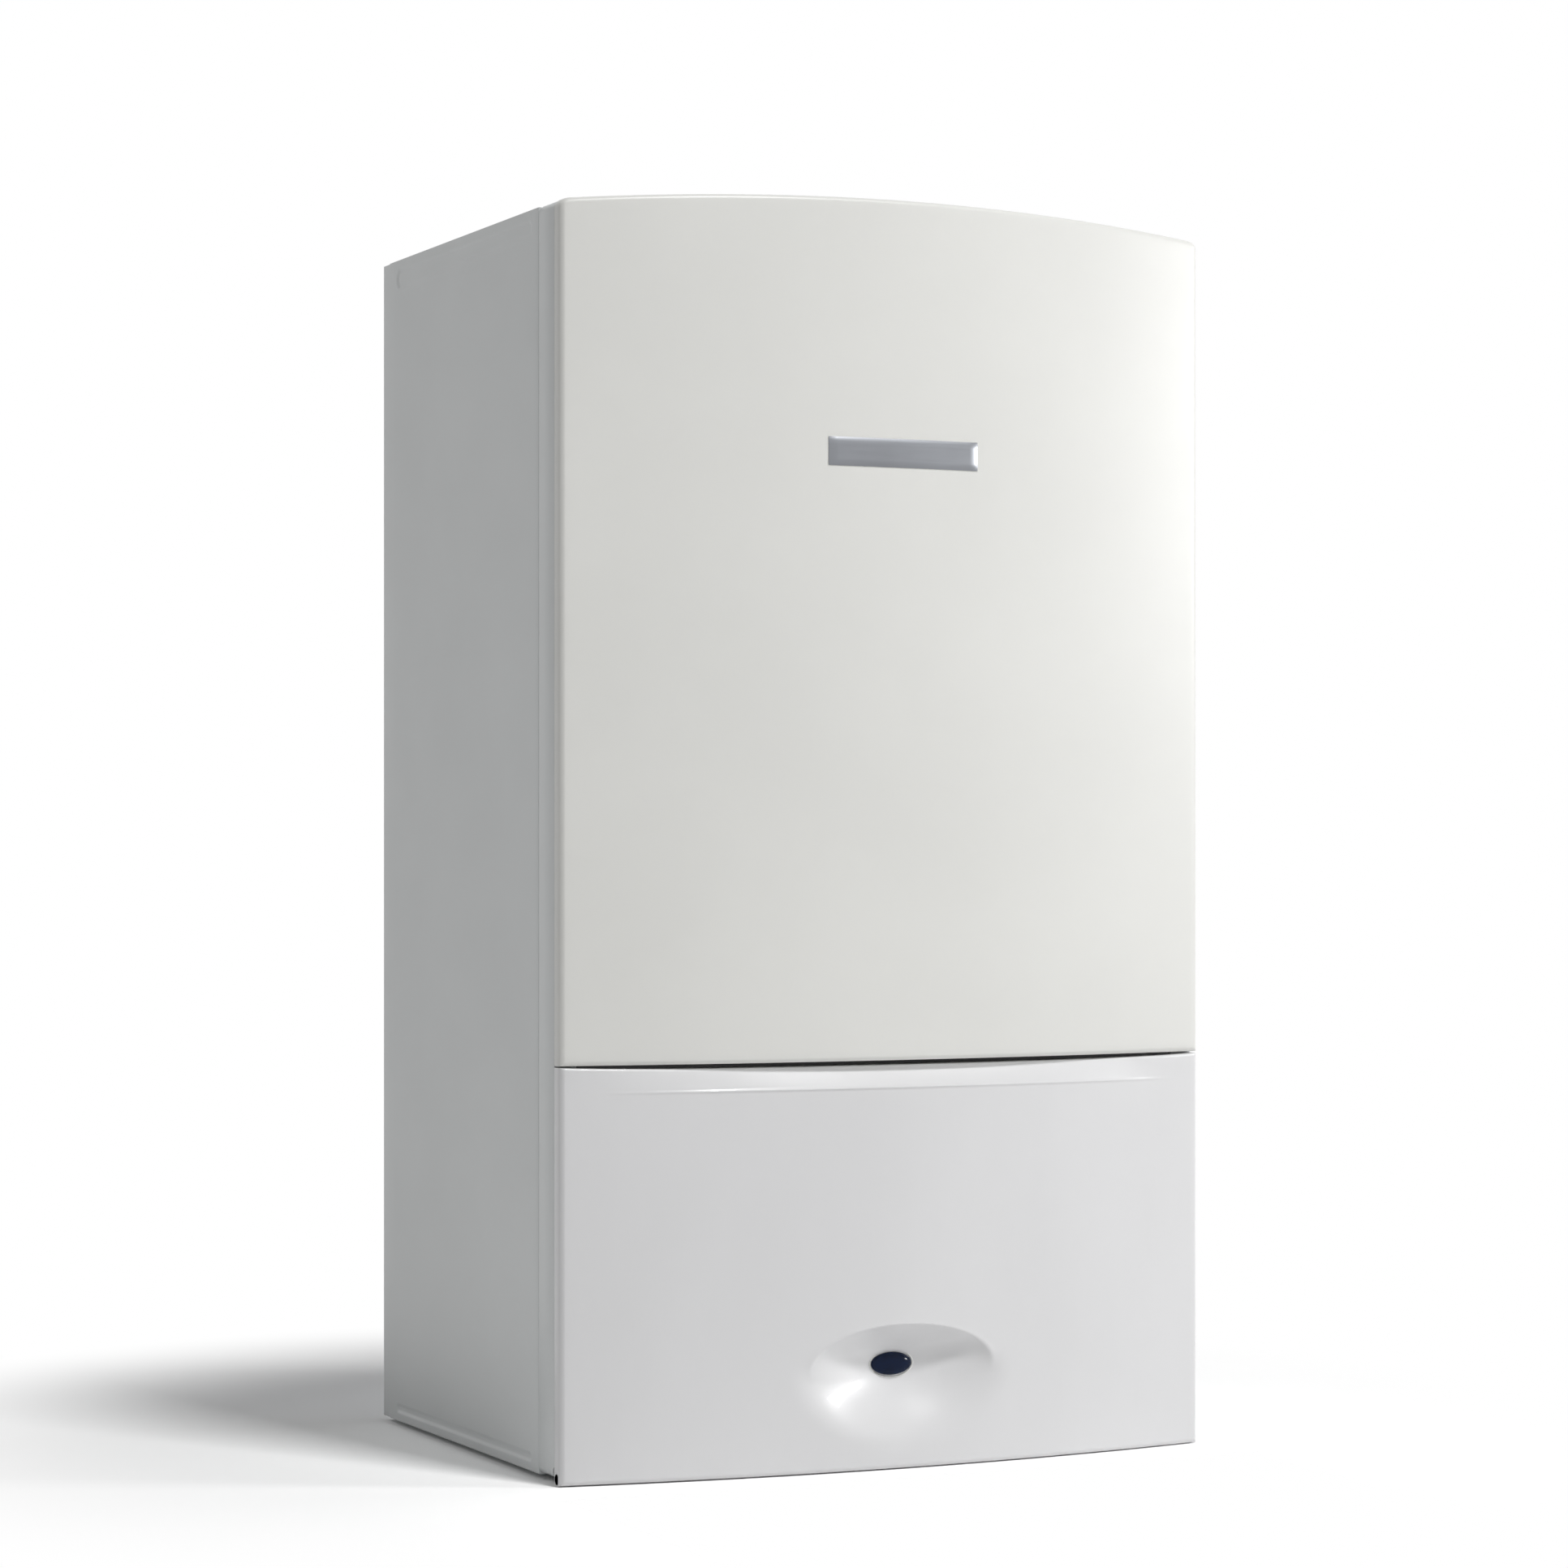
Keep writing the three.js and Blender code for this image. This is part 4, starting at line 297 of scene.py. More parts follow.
def circuit_green(name):
    """Green board: fine tracks, and tinned pads in rows."""
    finish = Finish(name)
    tracks = finish.node("TexBrick", {"offset": 0.37},
                         {"Vector": finish.place(turn=(math.radians(90.0), 0.0, 0.0)),
                          "Scale": 90.0, "Mortar Size": 0.05, "Color1": (0.0, 0.0, 0.0, 1.0),
                          "Color2": (0.0, 0.0, 0.0, 1.0), "Mortar": (1.0, 1.0, 1.0, 1.0)})
    pads = 1.0 - finish.step(finish.cells(210.0, "Distance"), 0.22, 0.28)
    pads = pads * finish.step(finish.noise(30.0, 1.0), 0.5, 0.54)
    green = finish.blend(tracks, (0.012, 0.085, 0.035), (0.03, 0.16, 0.07))
    finish.set(Base_Color=finish.blend(pads, green, (0.62, 0.62, 0.6)), Metallic=pads,
               Roughness=finish.between(pads, 0.42, 0.3),
               Normal=finish.bump(tracks, 0.00004, 0.5))
    return finish.material


def tinted_lens(name, colour):
    """Dark glossy lens with a deep body colour that drifts a little across it."""
    finish = Finish(name)
    base = finish.blend(finish.step(finish.noise(70.0, 2.0), 0.3, 0.7), colour, tint(colour, 1.5))
    finish.set(Base_Color=base, Roughness=finish.between(finish.noise(60.0, 2.0), 0.06, 0.1),
               Specular_IOR_Level=0.16, IOR=1.45)
    return finish.material


def lit_figures(name, colour):
    """Figures that glow, their brightness wandering a little."""
    finish = Finish(name)
    glow = finish.between(finish.step(finish.noise(30.0, 1.0), 0.3, 0.7), 0.8, 1.0)
    light = finish.blend(glow, tint(colour, 0.7), colour)
    finish.set(Base_Color=light, Roughness=0.4, Emission_Color=light, Emission_Strength=0.9)
    return finish.material


COVER_WHITE = linear(242, 242, 238)
CASE_WHITE = linear(234, 237, 237)
FLAP_WHITE = linear(238, 238, 239)

FINISH = {
    "cover_paint": coated_steel("cover_paint", COVER_WHITE, 0.38),
    "case_paint": coated_steel("case_paint", CASE_WHITE, 0.42),
    "flap_plastic": moulded("flap_plastic", FLAP_WHITE, 0.32, 0.000004, 0.6),
    "grey_plastic": moulded("grey_plastic", (0.24, 0.255, 0.27), 0.48, 0.00003),
    "dark_plastic": moulded("dark_plastic", (0.028, 0.03, 0.034), 0.45, 0.00003),
    "black_plastic": moulded("black_plastic", (0.008, 0.008, 0.009), 0.3, 0.00002),
    "white_plastic": moulded("white_plastic", linear(240, 240, 237), 0.33, 0.00001),
    "navy_lens": tinted_lens("navy_lens", (0.003, 0.010, 0.035)),
    "clear_window": clear_plastic("clear_window", (0.93, 0.95, 0.97)),
    "badge_chrome": bare_metal("badge_chrome", (0.27, 0.28, 0.3), 0.34, 40.0, (1.0, 30.0, 30.0)),
    "galvanised": zinc_coat("galvanised"),
    "stainless": bare_metal("stainless", (0.62, 0.62, 0.61), 0.33, 60.0, (20.0, 1.0, 20.0)),
    "cast_aluminium": bare_metal("cast_aluminium", (0.58, 0.59, 0.6), 0.52, 700.0),
    "brass": bare_metal("brass", (0.72, 0.5, 0.2), 0.34, 300.0, stain=(0.45, 0.3, 0.12)),
    "copper": bare_metal("copper", (0.72, 0.36, 0.2), 0.34, 120.0, stain=(0.4, 0.17, 0.09)),
    "vessel_paint": coated_steel("vessel_paint", (0.42, 0.02, 0.016), 0.36, 0.00004),
    "board": circuit_green("board"),
    "display_light": lit_figures("display_light", (0.25, 0.75, 0.85)),
    "red_plastic": moulded("red_plastic", (0.5, 0.015, 0.01), 0.32),
}


# ---- Making pieces ----

SLOT_OF = {part["node"]: part["material_slot"] for part in frame["record"]["subparts"]}
FLAT_ANGLE = math.radians(0.6)
SHARP_ANGLE = math.radians(30.0)


def add_piece(name, form, node, slot=None, smooth=38.0):
    """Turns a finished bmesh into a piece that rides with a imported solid.

    Without a slot of its own it has the solid's slot, and takes the solid's place.
    """
    replaced = [] if slot else [node]
    slot = slot or SLOT_OF[node]
    body = NODES[node]["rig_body"]
    bmesh.ops.recalc_face_normals(form, faces=form.faces)
    mesh = bpy.data.meshes.new(name)
    form.to_mesh(mesh)
    form.free()
    for face in mesh.polygons:
        face.use_smooth = True
    mesh.set_sharp_from_angle(angle=math.radians(smooth))
    mesh.materials.append(FINISH[slot])
    piece = bpy.data.objects.new(name, mesh)
    SCENE.collection.objects.link(piece)
    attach(piece, body)
    if replaced:
        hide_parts(*replaced)


def soften(form, edges, width, segments=2):
    """Rounds edges of a form."""
    bmesh.ops.bevel(form, geom=edges, offset=width, offset_type="OFFSET", segments=segments,
                    profile=0.5, affect="EDGES", clamp_overlap=True, material=-1)


def settle(node, width):
    """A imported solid's own form with its triangles merged, its edges softened and shaded round."""
    form = bmesh.new()
    form.from_mesh(NODES[node].data)
    bmesh.ops.remove_doubles(form, verts=form.verts, dist=0.000004)
    bmesh.ops.dissolve_limit(form, angle_limit=FLAT_ANGLE, verts=form.verts, edges=form.edges)
    if width:
        sharp = [edge for edge in form.edges
                 if edge.is_manifold and edge.calc_face_angle() > SHARP_ANGLE]
        soften(form, sharp, width)
    add_piece(node + "_dressed", form, node, smooth=32.0)


def grid_form(columns, row_count, place):
    """A sheet with a vertex in each column and row, each set in place by a function."""
    form = bmesh.new()
    across, up = len(columns) - 1, row_count - 1
    bmesh.ops.create_grid(form, x_segments=across, y_segments=up, size=0.5)
    for vertex in form.verts:
        i = round((vertex.co.x + 0.5) * across)
        j = round((vertex.co.y + 0.5) * up)
        vertex.co = place(columns[i], j)
    return form


def corners_and_edges(geometry):
    """The vertices and the edges in what an operator has made."""
    verts = [item for item in geometry if isinstance(item, bmesh.types.BMVert)]
    edges = [item for item in geometry if isinstance(item, bmesh.types.BMEdge)]
    return verts, edges


def draw_out(form, edges):
    """Draws edges out as a wall. Returns the wall's new vertices and edges."""
    return corners_and_edges(bmesh.ops.extrude_edge_only(form, edges=edges)["geom"])


def rim_of(form):
    return [edge for edge in form.edges if edge.is_boundary]


def wall_in(form, wall, outward):
    """Turns an open shell's faces outward and gives it its wall on the inner side."""
    outward = Vector(outward)
    bmesh.ops.recalc_face_normals(form, faces=form.faces)
    outer = max(form.faces, key=lambda face: face.calc_center_median().dot(outward))
    if outer.normal.dot(outward) < 0.0:
        bmesh.ops.reverse_faces(form, faces=form.faces)
    bmesh.ops.solidify(form, geom=form.faces, thickness=wall)


def spread(low, high, steps):
    """Evenly spaced stations from low to high."""
    return [low + (high - low) * i / steps for i in range(steps + 1)]


def smooth_share(value):
    """0 below 0, 1 above 1, with a soft start and end between."""
    share = min(1.0, max(0.0, value))
    return share * share * (3.0 - 2.0 * share)


# ---- Bowed fronts ----

EDGE_SHARES = (0.0, 0.05, 0.15, 0.3, 0.5, 0.75, 1.0)
COVER_WALL = 0.0015
FLAP_WALL = 0.0022


def bow_y(x):
    """Depth of the bowed front at a distance from its middle line."""
    return APEX_Y + BOW * (x / HALF) ** 2


def edge_fall(distance, radius):
    """How far a rounded edge falls back at a distance from the outline."""
    inside = max(0.0, radius - distance)
    return radius - math.sqrt(max(0.0, radius ** 2 - inside ** 2))


def bordered(low, high, inner):
    """Stations that crowd together over the rounded edges at both ends."""
    near = [low + share * EDGE_RADIUS for share in EDGE_SHARES]
    far = [high - share * EDGE_RADIUS for share in reversed(EDGE_SHARES)]
    return near + inner + far


def cover_top(x):
    """Height of the cover's arched top edge, with its rounded corners."""
    return CROWN_TOP - CROWN * (x / HALF) ** 2 - edge_fall(HALF - abs(x), CORNER_RADIUS)


def cover_rows(high):
    return bordered(COVER_BOTTOM, high, spread(COVER_BOTTOM + 0.006, high - 0.006, 22))


def bowed_sheet(columns, rows_at, relief, wall, top_radius=EDGE_RADIUS,
                rear_at=lambda z: COVER_BACK):
    """A front sheet with rounded edges, a return all round and a wall, open to the back."""
    def place(x, j):
        rows = rows_at(x)
        z = rows[j]
        sides = edge_fall(min(HALF - abs(x), z - rows[0]), EDGE_RADIUS)
        fall = max(sides, edge_fall(rows[-1] - z, top_radius))
        return Vector((x, bow_y(x) + fall + relief(x, z), z))

    form = grid_form(columns, len(rows_at(0.0)), place)
    rear, _ = draw_out(form, rim_of(form))
    for vertex in rear:
        vertex.co.y = rear_at(vertex.co.z)
    wall_in(form, wall, TO_FRONT)
    return form


def make_cover():
    """Deep-drawn steel cover: bowed, with an arched top and rounded edges."""
    corner = [CORNER_RADIUS, 2.0 * CORNER_RADIUS]
    left = [-HALF + step for step in corner]
    right = [-x for x in reversed(left)]
    columns = bordered(-HALF, HALF, left + spread(-0.184, 0.184, 64) + right)
    form = bowed_sheet(columns, lambda x: cover_rows(cover_top(x)), lambda x, z: 0.0, COVER_WALL)
    add_piece("cover_skin", form, "front_cover")


DISH_Z = 0.057
DISH_DEPTH = 0.018
DISH_HALF_WIDTH = 0.057
DISH_HALF_HEIGHT = 0.024
DISH_LOW_WIDTH = 0.070
DISH_RIM = 0.00022
DISH_RIM_WIDTH = 0.0011
DISH_LOW_HEIGHT = 0.046
DISH_BLEND = 0.016
SCOOP_DEPTH = 0.008
SCOOP_SOFT = 0.1
CREASE_RIDGE = 0.0006
CREASE_WIDTH = 0.0008
FLAP_TOP_RADIUS = 0.0012
FLAP_RISE = 0.0019
CREASE_HALF = 0.171
CREASE_DROP = FLAP_TOP - CREASE_Z


def dish_fall(x, z):
    """Depth of the indicator dish: crisp under its upper rim, fading out below."""
    rise = z - DISH_Z
    upper = math.hypot(x / DISH_HALF_WIDTH, rise / DISH_HALF_HEIGHT)
    lower = math.hypot(x / DISH_LOW_WIDTH, rise / DISH_LOW_HEIGHT)
    share = smooth_share(0.5 + rise / DISH_BLEND)
    crisp = max(0.0, 1.0 - upper ** 2) ** 1.1
    soft = max(0.0, 1.0 - lower ** 2) ** 2
    rim = DISH_RIM * share * math.exp(-((upper - 1.0) * DISH_HALF_HEIGHT / DISH_RIM_WIDTH) ** 2)
    return DISH_DEPTH * (share * crisp + (1.0 - share) * soft) - rim


def scoop_fall(x, z):
    """Finger scoop: the band over the crease falls back under the cover."""
    rise = max(0.0, z - CREASE_Z) / CREASE_DROP
    taper = max(0.0, 1.0 - (x / CREASE_HALF) ** 2)
    ridge = CREASE_RIDGE * math.sqrt(taper) * math.exp(-((z - CREASE_Z) / CREASE_WIDTH) ** 2)
    return SCOOP_DEPTH * taper * (math.hypot(rise, SCOOP_SOFT) - SCOOP_SOFT) - ridge


def flap_rear(z):
    """Rear edge of the flap's return, rounded round the hinge line at its foot."""
    under = max(0.0, HINGE_RADIUS - z)
    return HINGE_Y + math.sqrt(HINGE_RADIUS ** 2 - under ** 2)


# Where the arms of the frame and of the control box hold the hinge line.
HINGE_GAPS = ((-0.1923, -0.1867), (-0.1573, -0.1427), (0.1427, 0.1573), (0.1867, 0.1923))


def make_hinge_barrel():
    """Rolled lower edge of the flap with the pins that cross its gaps for the hinge arms."""
    form = bmesh.new()
    line = (0.0, HINGE_Y, HINGE_RADIUS)
    ends = [-HALF] + [end for gap in HINGE_GAPS for end in gap] + [HALF]
    for low, high in zip(ends[::2], ends[1::2]):
        add_drum(form, "x", HINGE_RADIUS - 0.00002, low, high, line, 32, 0.0003)
    for low, high in HINGE_GAPS:
        add_drum(form, "x", 0.0012, low - 0.001, high + 0.001, line, 20, 0.0002)
    add_piece("flap_barrel", form, "control_flap", "flap_plastic")


def make_flap():
    """Glossy moulded flap with its finger scoop and indicator dish."""
    fine = spread(-0.08, 0.08, 140)
    wide = [0.086, 0.093, 0.101, 0.110, 0.120, 0.130, 0.140, 0.150, 0.160, 0.168, 0.176, 0.184,
            0.190, 0.195]
    columns = bordered(-HALF, HALF, [-x for x in reversed(wide)] + fine + wide)
    low = [0.006, 0.010, 0.014, 0.018]
    dish = spread(0.020, 0.070, 50) + spread(0.0706, 0.086, 24)
    high = spread(0.092, CREASE_Z - 0.003, 16) + spread(CREASE_Z - 0.002, CREASE_Z + 0.0025, 24)
    scoop = spread(CREASE_Z + 0.0035, FLAP_TOP - 0.0036, 6)
    inner = low + dish + high + scoop

    def rows_at(x):
        return bordered(0.0, FLAP_TOP + FLAP_RISE * (x / HALF) ** 4, inner)

    form = bowed_sheet(columns, rows_at, lambda x, z: scoop_fall(x, z) + dish_fall(x, z),
                       FLAP_WALL, FLAP_TOP_RADIUS, flap_rear)
    add_piece("flap_skin", form, "control_flap")


# ---- Forms for the smaller pieces ----

AXES = {"x": Vector((1.0, 0.0, 0.0)), "y": Vector((0.0, 1.0, 0.0)), "z": Vector((0.0, 0.0, 1.0))}
OUTWARD = {"x": AXES["z"], "y": AXES["x"], "z": AXES["x"]}
FULL_TURN = 2.0 * math.pi
FACING_FRONT = Matrix.Rotation(math.radians(90.0), 4, "X")


def mm(*values):
    """A place given in millimetres."""
    return Vector(values) * MM


def extent(node):
    """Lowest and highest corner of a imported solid."""
    points = [vertex.co for vertex in NODES[node].data.vertices]
    low = Vector(min(point[i] for point in points) for i in range(3))
    high = Vector(max(point[i] for point in points) for i in range(3))
    return low, high


def lay_along(heading, place):
    """Matrix that carries a form made along Z to a place, laid along a heading."""
    turn = Vector(heading).to_track_quat("Z", "Y").to_matrix().to_4x4()
    return Matrix.Translation(place) @ turn


def add_turned(form, axis, profile, centre, steps=40):
    """Adds a body turned round an axis, from pairs of radius and place along the axis."""
    before = set(form.verts)
    along, outward, middle = AXES[axis], OUTWARD[axis], Vector(centre)
    verts = [form.verts.new(middle + outward * radius + along * place)
             for radius, place in profile]
    edges = [form.edges.new(pair) for pair in zip(verts, verts[1:])]
    bmesh.ops.spin(form, geom=verts + edges, cent=middle, axis=along, angle=FULL_TURN,
                   steps=steps, use_merge=True)
    fresh = [vertex for vertex in form.verts if vertex not in before]
    bmesh.ops.remove_doubles(form, verts=fresh, dist=1e-6)


def add_pipe(form, corners, radius, bend, sides, steps):
    """Adds a bent pipe: a ring drawn along its straights and spun round its bends."""
    points = [Vector(corner) for corner in corners]
    first = (points[1] - points[0]).normalized()
    made = bmesh.ops.create_circle(form, cap_ends=False, segments=sides, radius=radius,
                                   matrix=lay_along(first, points[0]))
    verts = made["verts"]
    edges = list({edge for vertex in verts for edge in vertex.link_edges})
    start, place = edges, points[0]
    for i in range(1, len(points)):
        heading = (points[i] - points[i - 1]).normalized()
        last = i == len(points) - 1
        onward = heading if last else (points[i + 1] - points[i]).normalized()
        angle = heading.angle(onward, 0.0)
        reach = 0.0 if last or angle < 0.01 else bend
        stop = points[i] - heading * reach
        verts, edges = draw_out(form, edges)
        edges = [edge for edge in edges if all(vertex in verts for vertex in edge.verts)]
        bmesh.ops.translate(form, verts=verts, vec=stop - place)
        place = stop
        if reach:
            axis = heading.cross(onward).normalized()
            centre = stop + axis.cross(heading) * (reach / math.tan(angle / 2.0))
            spun = bmesh.ops.spin(form, geom=verts + edges, cent=centre, axis=axis, angle=angle,
                                  steps=steps, use_merge=False)
            verts, edges = corners_and_edges(spun["geom_last"])
            place = points[i] + onward * reach
    bmesh.ops.edgeloop_fill(form, edges=start)
    bmesh.ops.edgeloop_fill(form, edges=edges)


def add_block(form, low, high, bevel=0.0, segments=2):
    """Adds a block between two corners, with its edges rounded."""
    low, high = Vector(low), Vector(high)
    box = Matrix.Translation((low + high) / 2.0) @ Matrix.Diagonal((*(high - low), 1.0))
    made = bmesh.ops.create_cube(form, size=1.0, matrix=box)
    if bevel:
        edges = list({edge for vertex in made["verts"] for edge in vertex.link_edges})
        soften(form, edges, bevel, segments)


def add_drum(form, axis, radius, low, high, centre, steps=32, edge=0.0006):
    """Adds a round bar with rounded ends."""
    profile = [(0.0, low), (radius - edge, low), (radius - 0.3 * edge, low + 0.3 * edge),
               (radius, low + edge), (radius, high - edge),
               (radius - 0.3 * edge, high - 0.3 * edge), (radius - edge, high), (0.0, high)]
    add_turned(form, axis, profile, centre, steps)


def add_cone(form, turn, up, sides, low_radius, high_radius, depth):
    """Adds a capped cone, with its middle a little way up along Z of a turn."""
    bmesh.ops.create_cone(form, cap_ends=True, segments=sides, radius1=low_radius,
                          radius2=high_radius, depth=depth,
                          matrix=turn @ Matrix.Translation((0.0, 0.0, up)))


def add_hex(form, place, axis, radius, height):
    """Adds a bolt's hexagon head on its washer, standing on a place."""
    turn = lay_along(axis, place)
    add_cone(form, turn, height * 0.12, 20, radius * 1.35, radius * 1.3, height * 0.24)
    add_cone(form, turn, height * 0.6, 6, radius, radius * 0.96, height * 0.8)


def add_screw(form, place, axis, radius=0.0034):
    """Adds a pan-head screw with a small square drive raised in its middle."""
    turn = lay_along(axis, place)
    add_cone(form, turn, radius * 0.25, 18, radius, radius * 0.72, radius * 0.5)
    add_cone(form, turn, radius * 0.5, 4, radius * 0.4, radius * 0.34, radius * 0.1)


def form_of(add, *sizes):
    """A new form that holds one body."""
    form = bmesh.new()
    add(form, *sizes)
    return form


def add_text(form, words, size, place):
    """Adds flat lettering that faces the front, from a text curve made a mesh."""
    curve = bpy.data.curves.new("words", "FONT")
    curve.body = words
    curve.size = size
    curve.align_x = "CENTER"
    curve.align_y = "CENTER"
    curve.extrude = 0.00005
    carrier = bpy.data.objects.new("words", curve)
    mesh = bpy.data.meshes.new_from_object(carrier)
    mesh.transform(Matrix.Translation(place) @ FACING_FRONT)
    form.from_mesh(mesh)
    bpy.data.objects.remove(carrier)
    bpy.data.curves.remove(curve)
    bpy.data.meshes.remove(mesh)


# ---- Badge bar, lens and its ring ----

def make_badge():
    """Plain brushed bar that follows the cover's bow, with rounded edges."""
    low, high = extent("badge_bar")
    columns = spread(low.x, high.x, 32)
    rows = spread(low.z, high.z, 8)

    def place(x, j):
        edge = min(x - low.x, high.x - x, rows[j] - low.z, high.z - rows[j])
        return Vector((x, bow_y(x) - 0.0012 + edge_fall(edge, 0.0009), rows[j]))

    form = grid_form(columns, len(rows), place)
    far, edges = draw_out(form, rim_of(form))
    for vertex in far:
        vertex.co.y = bow_y(vertex.co.x) - 0.0001
    bmesh.ops.edgeloop_fill(form, edges=[edge for edge in edges if edge.is_boundary])
    add_piece("badge_face", form, "badge_bar", smooth=50.0)


LENS_HALF = (0.0125, 0.0065)
LENS_DOME = 0.0035
RING_WIDTH = 0.0015
RING_GAP = 0.0001
RING_LIP = 0.0006


def add_oval(form, profile, width, height):
    """Adds a turned form in the dish, pressed from a circle to an oval."""
    add_turned(form, "y", profile, (0.0, 0.0, 0.0), 56)
    press = Matrix.Diagonal((1.0, 1.0, height / width, 1.0))
    bmesh.ops.transform(form, matrix=Matrix.Translation((0.0, 0.0, DISH_Z)) @ press,
                        verts=form.verts)


def make_lens():
    """Domed oval lens, drawn from a turned dome and flattened to its oval."""
    low, high = extent("indicator_lens")
    dome = [(0.0, low.y)]
    for i in range(1, 9):
        angle = math.radians(90.0 * i / 8)
        dome.append((LENS_HALF[0] * math.sin(angle), low.y + LENS_DOME * (1.0 - math.cos(angle))))
    dome += [(LENS_HALF[0], high.y), (0.0, high.y)]
    add_piece("lens_dome", form_of(add_oval, dome, *LENS_HALF), "indicator_lens", smooth=50.0)


def make_lens_ring():
    """Thin rounded ring that frames the lens."""
    low, high = extent("lens_ring")
    inner = LENS_HALF[0] + RING_GAP
    outer = inner + RING_WIDTH
    half = RING_WIDTH / 2.0
    lip = []
    for i in range(7):
        angle = math.pi * i / 6
        lip.append((inner + half + half * math.cos(angle),
                    low.y + RING_LIP - RING_LIP * math.sin(angle)))
    profile = [(outer, high.y)] + lip + [(inner, high.y), (outer, high.y)]
    form = bmesh.new()
    add_oval(form, profile, outer, LENS_HALF[1] + RING_GAP + RING_WIDTH)
    add_piece("lens_frame", form, "lens_ring", smooth=50.0)


# ---- Side panels ----

BEAD_DEPTH = 0.0007
BEAD_SOFT = 0.0012
FOLD_RADIUS = 0.0012
FLANGE = 0.012
PANEL_WALL = 0.0012
BAND_DEPTH = 0.001
DEEPEST = 0.0022
BEAD_FRONT = SIDE_FRONT + 0.012
BAND_FRONT = CASE_BACK - 0.014
BEAD_BACK = BAND_FRONT - 0.014
UPPER_BEAD = (CASE_TOP - 0.013, CASE_TOP - 0.006, 0.004)
LOWER_BEAD = (SKIRT + 0.006, SKIRT + 0.010, 0.0)


def bead_fall(y, z, bead):
    """Depth of a pressed bead with round ends, taller towards the wall by its taper."""
    low, high, taper = bead
    along = min(1.0, max(0.0, (y - BEAD_FRONT) / (BEAD_BACK - BEAD_FRONT)))
    half = (high - low + taper * along) / 2.0
    middle = high - half
    nearest = min(BEAD_BACK - half, max(BEAD_FRONT + half, y))
    inside = half - math.hypot(y - nearest, z - middle)
    return BEAD_DEPTH * smooth_share(0.5 + inside / (2.0 * BEAD_SOFT))


def panel_fall(y, z):
    """How far the side panel's face lies inside the casing's full width."""
    fold = edge_fall(min(y - SIDE_FRONT, CASE_BACK - y, z - SKIRT), FOLD_RADIUS)
    band = BAND_DEPTH * smooth_share((y - BAND_FRONT + 0.0008) / 0.0016)
    beads = bead_fall(y, z, UPPER_BEAD) + bead_fall(y, z, LOWER_BEAD)
    return min(DEEPEST, fold + band + beads)


def make_side_panel(node, side):
    """Folded steel panel with its pressed beads, set-back rear band and mitred flanges."""
    fold = [0.0, 0.0002, 0.0005, 0.0009, 0.0013]
    columns = [SIDE_FRONT + step for step in fold]
    columns += spread(BEAD_FRONT - 0.003, BEAD_FRONT + 0.009, 12)
    columns += spread(BEAD_FRONT + 0.02, BEAD_BACK - 0.02, 8)
    columns += spread(BEAD_BACK - 0.012, BEAD_BACK + 0.003, 15)
    columns += spread(BAND_FRONT - 0.001, BAND_FRONT + 0.001, 6)
    columns += [CASE_BACK - step for step in reversed(fold)]
    rows = [SKIRT + step for step in fold] + spread(SKIRT + 0.0045, SKIRT + 0.012, 15)
    rows += spread(SKIRT + 0.02, CASE_TOP - 0.024, 10)
    rows += spread(CASE_TOP - 0.019, CASE_TOP - 0.004, 28) + [CASE_TOP]

    def place(y, j):
        return Vector((side * (HALF - panel_fall(y, rows[j])), y, rows[j]))

    form = grid_form(columns, len(rows), place)
    folded = [edge for edge in rim_of(form)
              if min(vertex.co.z for vertex in edge.verts) < CASE_TOP - 1e-5]
    flange, _ = draw_out(form, folded)
    for vertex in flange:
        vertex.co.x = side * (HALF - FLANGE)
        vertex.co.z = min(vertex.co.z, CASE_TOP - FLANGE)
    wall_in(form, PANEL_WALL, (side, 0.0, 0.0))
    add_piece(node + "_skin", form, node, smooth=45.0)


def make_joint_seal():
    """Black foam strip between the frame's legs behind the joint: painted shade, a dark sheet that
    makes the gap read as shadow.
    """
    form = bmesh.new()
    inside = HALF - 0.0132
    add_block(form, (-inside, COVER_BACK + 0.0009, 0.2175),
              (inside, COVER_BACK + 0.0021, 0.2335), 0.0004)
    # Painted shade: the black strip darkens the joint's gap from behind.
    add_piece("joint_shade_strip", form, "front_frame", "black_plastic")


# ---- Controls behind the flap ----

FASCIA_FRONT = FRAME_FRONT + 0.0025
KNOB_PLACES = {"heating_knob": -0.090, "hot_water_knob": 0.090}
KNOB_Z = 0.118
KNOB_RADIUS = 0.021
KNOB_RIBS = 30
UPPER_ROW_Z = 0.165
GAUGE_X = -0.150
SWITCH_X = 0.150
DIAL_SWEEP = 270.0


def dial_point(x, z, radius, share):
    """A point on a round scale that runs clockwise from its lower left end."""
    angle = math.radians(90.0 + DIAL_SWEEP / 2.0 - share * DIAL_SWEEP)
    return Vector((x + radius * math.cos(angle), 0.0, z + radius * math.sin(angle))), angle


def add_tick(form, x, z, radius, share, length, width, face):
    """Adds one line of a round scale, pointing to its middle."""
    point, angle = dial_point(x, z, radius, share)
    turn = Matrix.Translation((point.x, face, point.z)) @ Matrix.Rotation(-angle, 4, "Y")
    size = Matrix.Diagonal((length, 0.00012, width, 1.0))
    bmesh.ops.create_cube(form, size=1.0, matrix=turn @ size)


